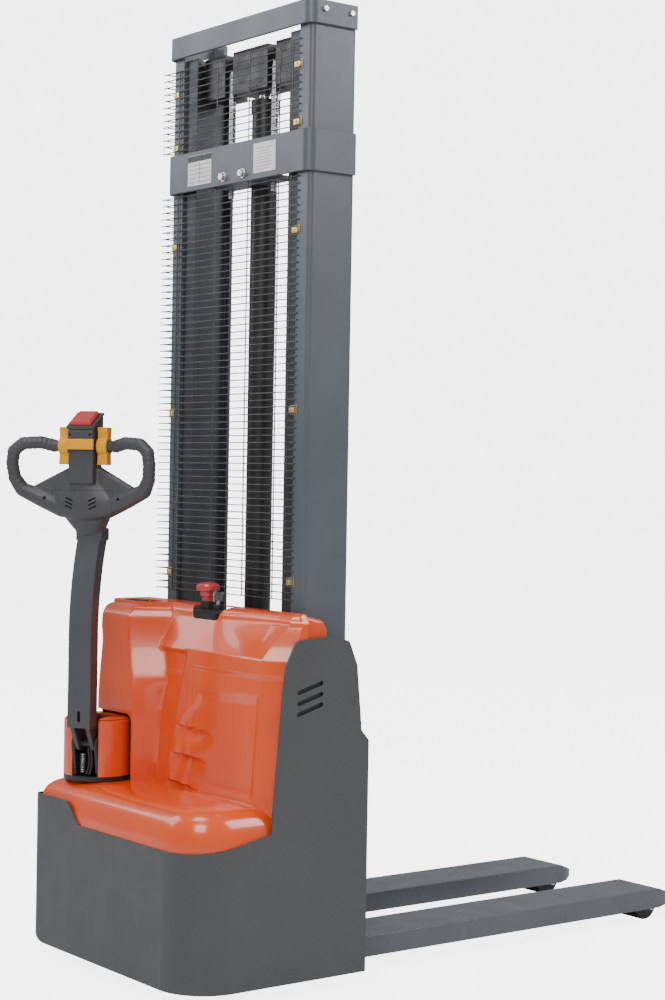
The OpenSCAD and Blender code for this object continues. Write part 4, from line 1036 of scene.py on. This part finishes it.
def headVents():
    # three slanted slots each side of the belly
    shape = bmesh.new()
    for side in (-1, 1):
        for k in range(3):
            outline = slotOutline(side * (0.030 + 0.001 * k), -0.130 - 0.0095 * k, 0.022,
                                  0.0034, side * head["ventTilt"])
            shape.from_mesh(toMesh(prism(outline, -0.05, -0.014, "y"), "slot"))
    mesh = toMesh(shape, "vents")
    mesh.transform(headPlace)
    return mesh


def headHoles():
    # screw wells in the limbs and in the top block
    shape = bmesh.new()
    for x, z, r, deep in ((-0.098, -0.128, 0.0042, 0.0), (0.098, -0.128, 0.0042, 0.0),
                          (-0.026, 0.027, 0.003, -0.016), (0.026, 0.027, 0.003, -0.016)):
        ring = [(x + r * math.cos(math.radians(30 * k)), z + r * math.sin(math.radians(30 * k)))
                for k in range(12)]
        shape.from_mesh(toMesh(prism(ring, -0.08, -0.012 + deep, "y"), "well"))
    mesh = toMesh(shape, "wells")
    mesh.transform(headPlace)
    return mesh


def buttonWell():
    # pocket under the sloped button, as deep as the button travels
    mesh = boxMesh((-0.028, -0.031, -0.0055), (0.028, 0.031, 0.02))
    tilt = math.radians(head["blockTilt"])
    middle = head["blockTop"] - head["blockHalf"] * math.tan(tilt)
    mesh.transform(headPlace @ Matrix.Translation((0, 0, middle)) @ Matrix.Rotation(tilt, 4, "X"))
    return mesh


headPlace = tillerPlace @ Matrix.Translation((0, -head["barAhead"], head["barHeight"]))
wholeHead = meltedHead()
frontShell = cutMesh(cutMesh(wholeHead.copy(), coverSpace(0), "INTERSECT"), headVents())
addPiece("head_front_cover", smoothFaces(frontShell, 50), "tillerPlastic", "tiller",
         ["head_front_shell"])
rearShell = cutMesh(cutMesh(cutMesh(wholeHead, coverSpace(0.0005)), headHoles()), buttonWell())
addPiece("head_body", smoothFaces(rearShell, 50), "tillerPlastic", "tiller",
         ["head_rear_shell"])
print("tiller head made")

# carried-over CAD nodes with eased edges

eased = {  # node: finish, edge radius in metres
    "chassis_frame": ("apronCoat", 0.001), "drive_mount": ("apronCoat", 0.001),
    "support_leg_left": ("forkCoat", 0.0015), "support_leg_right": ("forkCoat", 0.0015),
    "load_axles": ("bareSteel", 0.0008),
    "outer_channel_left": ("mastCoat", 0.0016), "outer_channel_right": ("mastCoat", 0.0016),
    "mast_top_beam": ("mastCoat", 0.0025), "mast_mid_beam": ("mastCoat", 0.0025),
    "cylinder_barrel": ("blackIron", 0.0015), "chain_anchors": ("brightZinc", 0.0012),
    "battery": ("blackPlastic", 0.004), "hydraulic_pack": ("blackIron", 0.0015),
    "controller": ("blackPlastic", 0.0015), "charger": ("plateSilver", 0.002),
    "stop_base": ("blackPlastic", 0.001),
    "caster_plate": ("bareSteel", 0.001), "steer_turntable": ("blackIron", 0.0012),
    "drive_gearbox": ("blackIron", 0.002), "drive_motor": ("blackIron", 0.002),
    "hub_shell_left": ("hoodOrange", 0.003), "hub_shell_right": ("hoodOrange", 0.003),
    "drive_wheel": ("tyreBlack", 0.004), "tiller_arm": ("armCoat", 0.0018),
    "button_bezel": ("tillerPlastic", 0.0018), "throttle_wings": ("wingYellow", 0.003),
    "lift_rocker": ("wingYellow", 0.0016), "reverse_button": ("buttonRed", 0.003),
    "inner_channel_left": ("innerSteel", 0.0014), "inner_channel_right": ("innerSteel", 0.0014),
    "inner_top_beam": ("blackIron", 0.0016), "inner_foot_beam": ("innerSteel", 0.0014),
    "cylinder_rod": ("rodChrome", 0.0012), "chain_pulleys": ("blackIron", 0.0012),
    "carriage_frame": ("innerSteel", 0.0016), "fork_left": ("forkCoat", 0.003),
    "fork_right": ("forkCoat", 0.003), "outer_rollers": ("bareSteel", 0.0015),
    "inner_rollers": ("bareSteel", 0.0015), "carriage_rollers_lower": ("bareSteel", 0.0015),
    "carriage_rollers_upper": ("bareSteel", 0.0015),
    "load_wheel_left": ("tyreBlack", 0.003), "load_wheel_right": ("tyreBlack", 0.003),
    "caster_fork": ("bareSteel", 0.001), "caster_wheel": ("tyreBlack", 0.003),
    "ignition_key": ("brightZinc", 0.0008), "hood_knob": ("blackPlastic", 0.002),
}
for node, (finish, width) in eased.items():
    finishedNode(node, finish, width)
print("eased", len(eased), "nodes")

# mesh guard

guard = {
    "pitch": 0.017,
    "radius": 0.0015,
    "left": -0.330,
    "right": 0.260,
    "hairpin": 0.026,
    "uprights": (-0.264, -0.09, 0.05, 0.178, 0.230),
}


def makeGuard():
    low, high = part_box("mesh_guard")
    beamLow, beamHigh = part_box("mast_mid_beam")
    y = (low[1] + high[1]) / 2
    count = round((high[2] - low[2]) / guard["pitch"])
    first = low[2] + guard["radius"]
    bent = curvePoints([(guard["right"], y, 0), (-0.29, y, 0), (guard["left"] + 0.010, y, 0),
                        (guard["left"] + 0.002, y + 0.006, 0),
                        (guard["left"] + 0.004, y + guard["hairpin"], 0)], 5)
    straight = [(guard["right"], y, 0), (-0.268, y, 0)]
    runs, start = [], 0
    hidden = [beamLow[2] - 0.006 < first + k * guard["pitch"] < beamHigh[2] + 0.006
              for k in range(count + 1)]
    for k in range(1, count + 2):
        if k == count + 1 or hidden[k] != hidden[start]:
            runs.append((start, k - start, hidden[start]))
            start = k
    shape = bmesh.new()
    for begin, number, behind in runs:
        z = first + begin * guard["pitch"]
        path = [(p[0], p[1], z) for p in (straight if behind else bent)]
        shape.from_mesh(tubes([path], guard["radius"], "wireSteel", "wires", 6, number,
                              (0, 0, guard["pitch"])))
    ups = [[(x, y - 0.0004, low[2] + 0.001), (x, y - 0.0004, high[2] - 0.001)]
           for x in guard["uprights"]]
    shape.from_mesh(tubes(ups, guard["radius"], "wireSteel", "uprights", 6))
    return toMesh(shape, "guardWires")


addPiece("guard_wires", makeGuard(), "wireSteel", "truck", ["mesh_guard"])

# clips and screws on the mast


def makeClips():
    shape = bmesh.new()
    for low, high in islands("mesh_clips"):
        x, z = (low[0] + high[0]) / 2, (low[2] + high[2]) / 2
        shape.from_mesh(boxMesh((x - 0.014, low[1] + 0.0002, z - 0.011),
                                (x + 0.014, high[1], z + 0.011)))
        bridge = prism([(x - 0.011, low[1] + 0.0004), (x - 0.011, low[1] - 0.0044),
                        (x + 0.011, low[1] - 0.0044), (x + 0.011, low[1] + 0.0004),
                        (x + 0.009, low[1] + 0.0004), (x + 0.009, low[1] - 0.0030),
                        (x - 0.009, low[1] - 0.0030), (x - 0.009, low[1] + 0.0004)],
                       z - 0.0065, z + 0.0065, "z")
        shape.from_mesh(toMesh(bridge, "clip"))
    return toMesh(shape, "clips")


bevelled(addPiece("guard_clips", makeClips(), "goldZinc", "truck", ["mesh_clips"]),
         0.0006, 1)


def makeMastScrews():
    small, side, large = [], [], []
    for low, high in islands("mast_screws"):
        mid = [(a + b) / 2 for a, b in zip(low, high)]
        if high[0] - low[0] < 0.0075:
            side.append(((low[0] if mid[0] > 0 else high[0], mid[1], mid[2]),
                         (math.copysign(1, mid[0]), 0, 0)))
        elif high[0] - low[0] > 0.015:
            large.append(((mid[0], high[1], mid[2]), (0, -1, 0)))
        else:
            small.append(((mid[0], low[1] + 0.0036, mid[2]), (0, -1, 0)))
    shape = bmesh.new()
    for seed, spots in ((screwMesh(0.0046, 0.0034), small),
                        (boltMesh(0.013, 0.0058, 0.0), side),
                        (boltMesh(0.017, 0.0098, 0.0118), large)):
        shape.from_mesh(fittings(seed, spots, "brightZinc", "screws"))
    return toMesh(shape, "mastScrews")


addPiece("mast_fasteners", makeMastScrews(), "brightZinc", "truck",
         ["mast_screws"])
print("guard, clips and screws made")

# lift chains: leaf-chain links

chain = {"pitch": 0.0127, "wide": 0.0185, "thick": 0.0098, "plate": 0.0021}


def linkMesh():
    # one pitch of chain along Z: two pairs of side plates and a pin through them
    shape = bmesh.new()
    c = chain
    half = c["thick"] / 2
    plate = []
    for end, start in ((1, 0), (-1, 180)):
        plate += [(half * math.cos(math.radians(start + 45 * k)),
                   end * c["pitch"] / 2 + half * math.sin(math.radians(start + 45 * k)))
                  for k in range(5)]
    for k in range(4):
        x = -c["wide"] / 2 + c["plate"] * (0.6 + 2.1 * k)
        lift = c["pitch"] / 2 if k in (1, 2) else 0
        outline = [(a, b + lift) for a, b in plate]
        shape.from_mesh(toMesh(prism(outline, x, x + c["plate"], "x"), "plate"))
    pin = [(0.0022 * math.cos(math.radians(60 * k)),
            c["pitch"] / 2 + 0.0022 * math.sin(math.radians(60 * k))) for k in range(6)]
    shape.from_mesh(toMesh(prism(pin, -c["wide"] / 2, c["wide"] / 2, "x"), "pin"))
    return toMesh(shape, "link")


def makeStrands(node, name):
    # from the body they are fixed to up to the other, and stretched between the two
    shape = bmesh.new()
    for lo, hi in islands(node):
        length = hi[2] - lo[2]
        count = int(length / chain["pitch"]) - 1
        seed = linkMesh()
        seed.transform(Matrix.Translation(((lo[0] + hi[0]) / 2, (lo[1] + hi[1]) / 2, 0)))
        shape.from_mesh(grown(rowMaker, seed, {
            "Count": count, "Step": (0, 0, (length - chain["pitch"]) / count),
            "First": (0, 0, lo[2] + chain["pitch"]), "Finish": coat("bareSteel")}, name))
    piece = addPiece(name, toMesh(shape, name), "bareSteel", None, [node])
    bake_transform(piece)


makeStrands("chain_fixed_strands", "fixed_chains")
makeStrands("chain_lift_strands", "lift_chains")
print("chains made")

# switches on the hood

stop = {"profile": [(0, 0), (0.0095, 0), (0.0095, 0.012), (0.0125, 0.0135), (0.0135, 0.021),
                    (0.0190, 0.0235), (0.0205, 0.0275), (0.0200, 0.0320), (0.0165, 0.0362),
                    (0.0095, 0.0385), (0, 0.0390)]}


def makeStop():
    low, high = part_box("stop_knob")
    centre = ((low[0] + high[0]) / 2, (low[1] + high[1]) / 2, low[2])
    scale = (high[2] - low[2]) / stop["profile"][-1][1]
    wide = (high[0] - low[0]) / 2 / 0.0205
    return smoothFaces(toMesh(lathe([(r * wide, h * scale) for r, h in stop["profile"]],
                                    centre), "stopShape"), 30)


addPiece("stop_mushroom", makeStop(), "buttonRed", "stop_knob", ["stop_knob"])

panel = {"centre": (0.020, -0.4923), "reach": 0.042, "round": 0.0315, "top": 0.874,
         "deep": 0.007, "key": 0.030, "plug": 0.068}


def makePanel():
    p = panel
    oval = slotOutline(*p["centre"], 2 * (p["reach"] + p["round"]), 2 * p["round"], 0, 18)
    shape = prism(oval, p["top"] - p["deep"], p["top"], "z")
    barrel = lathe([(0.0046, -0.004), (0.013, -0.004), (0.013, 0.011), (0.0115, 0.0135),
                    (0.0046, 0.0135)], (p["key"], p["centre"][1], p["top"]), 40)
    plug = lathe([(0, 0), (0.017, 0), (0.017, 0.0018), (0.0155, 0.003), (0, 0.003)],
                 (p["plug"], p["centre"][1], p["top"]), 36)
    for part in (barrel, plug):
        shape.from_mesh(toMesh(part, "part"))
    return toMesh(shape, "panelShape")


bevelled(addPiece("switch_panel", makePanel(), "blackPlastic", "truck",
                  ["control_panel"]), 0.0008, 1)

# rating plates with ruled lines


def makePlates():
    plates, ink = bmesh.new(), bmesh.new()
    for low, high in islands("data_plates"):
        plates.from_mesh(boxMesh((low[0], low[1] + 0.0002, low[2]), high))
        wide, tall = high[0] - low[0], high[2] - low[2]
        if low[0] < 0:                                  # the ruled plate on the left
            bars = [(low[0], high[2] - 0.016, high[0], high[2] - 0.001)]
            bars += [(low[0] + 0.004, low[2] + 0.008 + k * 0.0105, high[0] - 0.004,
                      low[2] + 0.0092 + k * 0.0105) for k in range(5)]
            bars += [(low[0] + wide * 0.5, low[2] + 0.008, low[0] + wide * 0.5 + 0.0014,
                      high[2] - 0.018)]
        else:
            bars = [(low[0] + 0.008, low[2] + 0.008 + k * 0.0072,
                     low[0] + wide * (0.86 if k % 3 else 0.7), low[2] + 0.0088 + k * 0.0072)
                    for k in range(8)]
        for x0, z0, x1, z1 in bars:
            ink.from_mesh(boxMesh((x0, low[1], z0), (x1, low[1] + 0.0003, z1)))
    addPiece("rating_plates", toMesh(plates, "plates"), "plateSilver", "truck",
             ["data_plates"])
    addPiece("plate_rulings", toMesh(ink, "rulings"), "plateInk", "truck")


makePlates()

# hub mechanism: cable bundle and return spring inside the slot


hub = {"spring": (-0.014, -0.060, 0.462), "coil": 0.008, "turns": 10, "rise": 0.048,
       "cable": 0.0035, "apart": (-0.009, 0.004, 0)}


def cableMesh():
    # two cables that rise side by side out of the hub
    way = [(0.012 + 0.004 * math.sin(k), -0.078 + 0.0035 * k, 0.462 + 0.016 * k) for k in range(9)]
    first = curvePoints(way, 4)
    paths = [[tillerPlace @ p for p in first],
             [tillerPlace @ (p + Vector(hub["apart"])) for p in first]]
    return tubes(paths, hub["cable"], "blackPlastic", "hubCables", 8)


def springMesh():
    x, y, z = hub["spring"]
    points, number = [], 12 * hub["turns"]
    for k in range(number + 1):
        a = 2 * math.pi * k / 12
        points.append(tillerPlace @ Vector((x + hub["coil"] * math.cos(a),
                                            y + hub["coil"] * math.sin(a),
                                            z + hub["rise"] * k / number)))
    return tubes([points], 0.0014, "bareSteel", "spring", 6)


addPiece("hub_cables", cableMesh(), "blackPlastic", "steer_unit")
addPiece("return_spring", springMesh(), "bareSteel", "steer_unit")
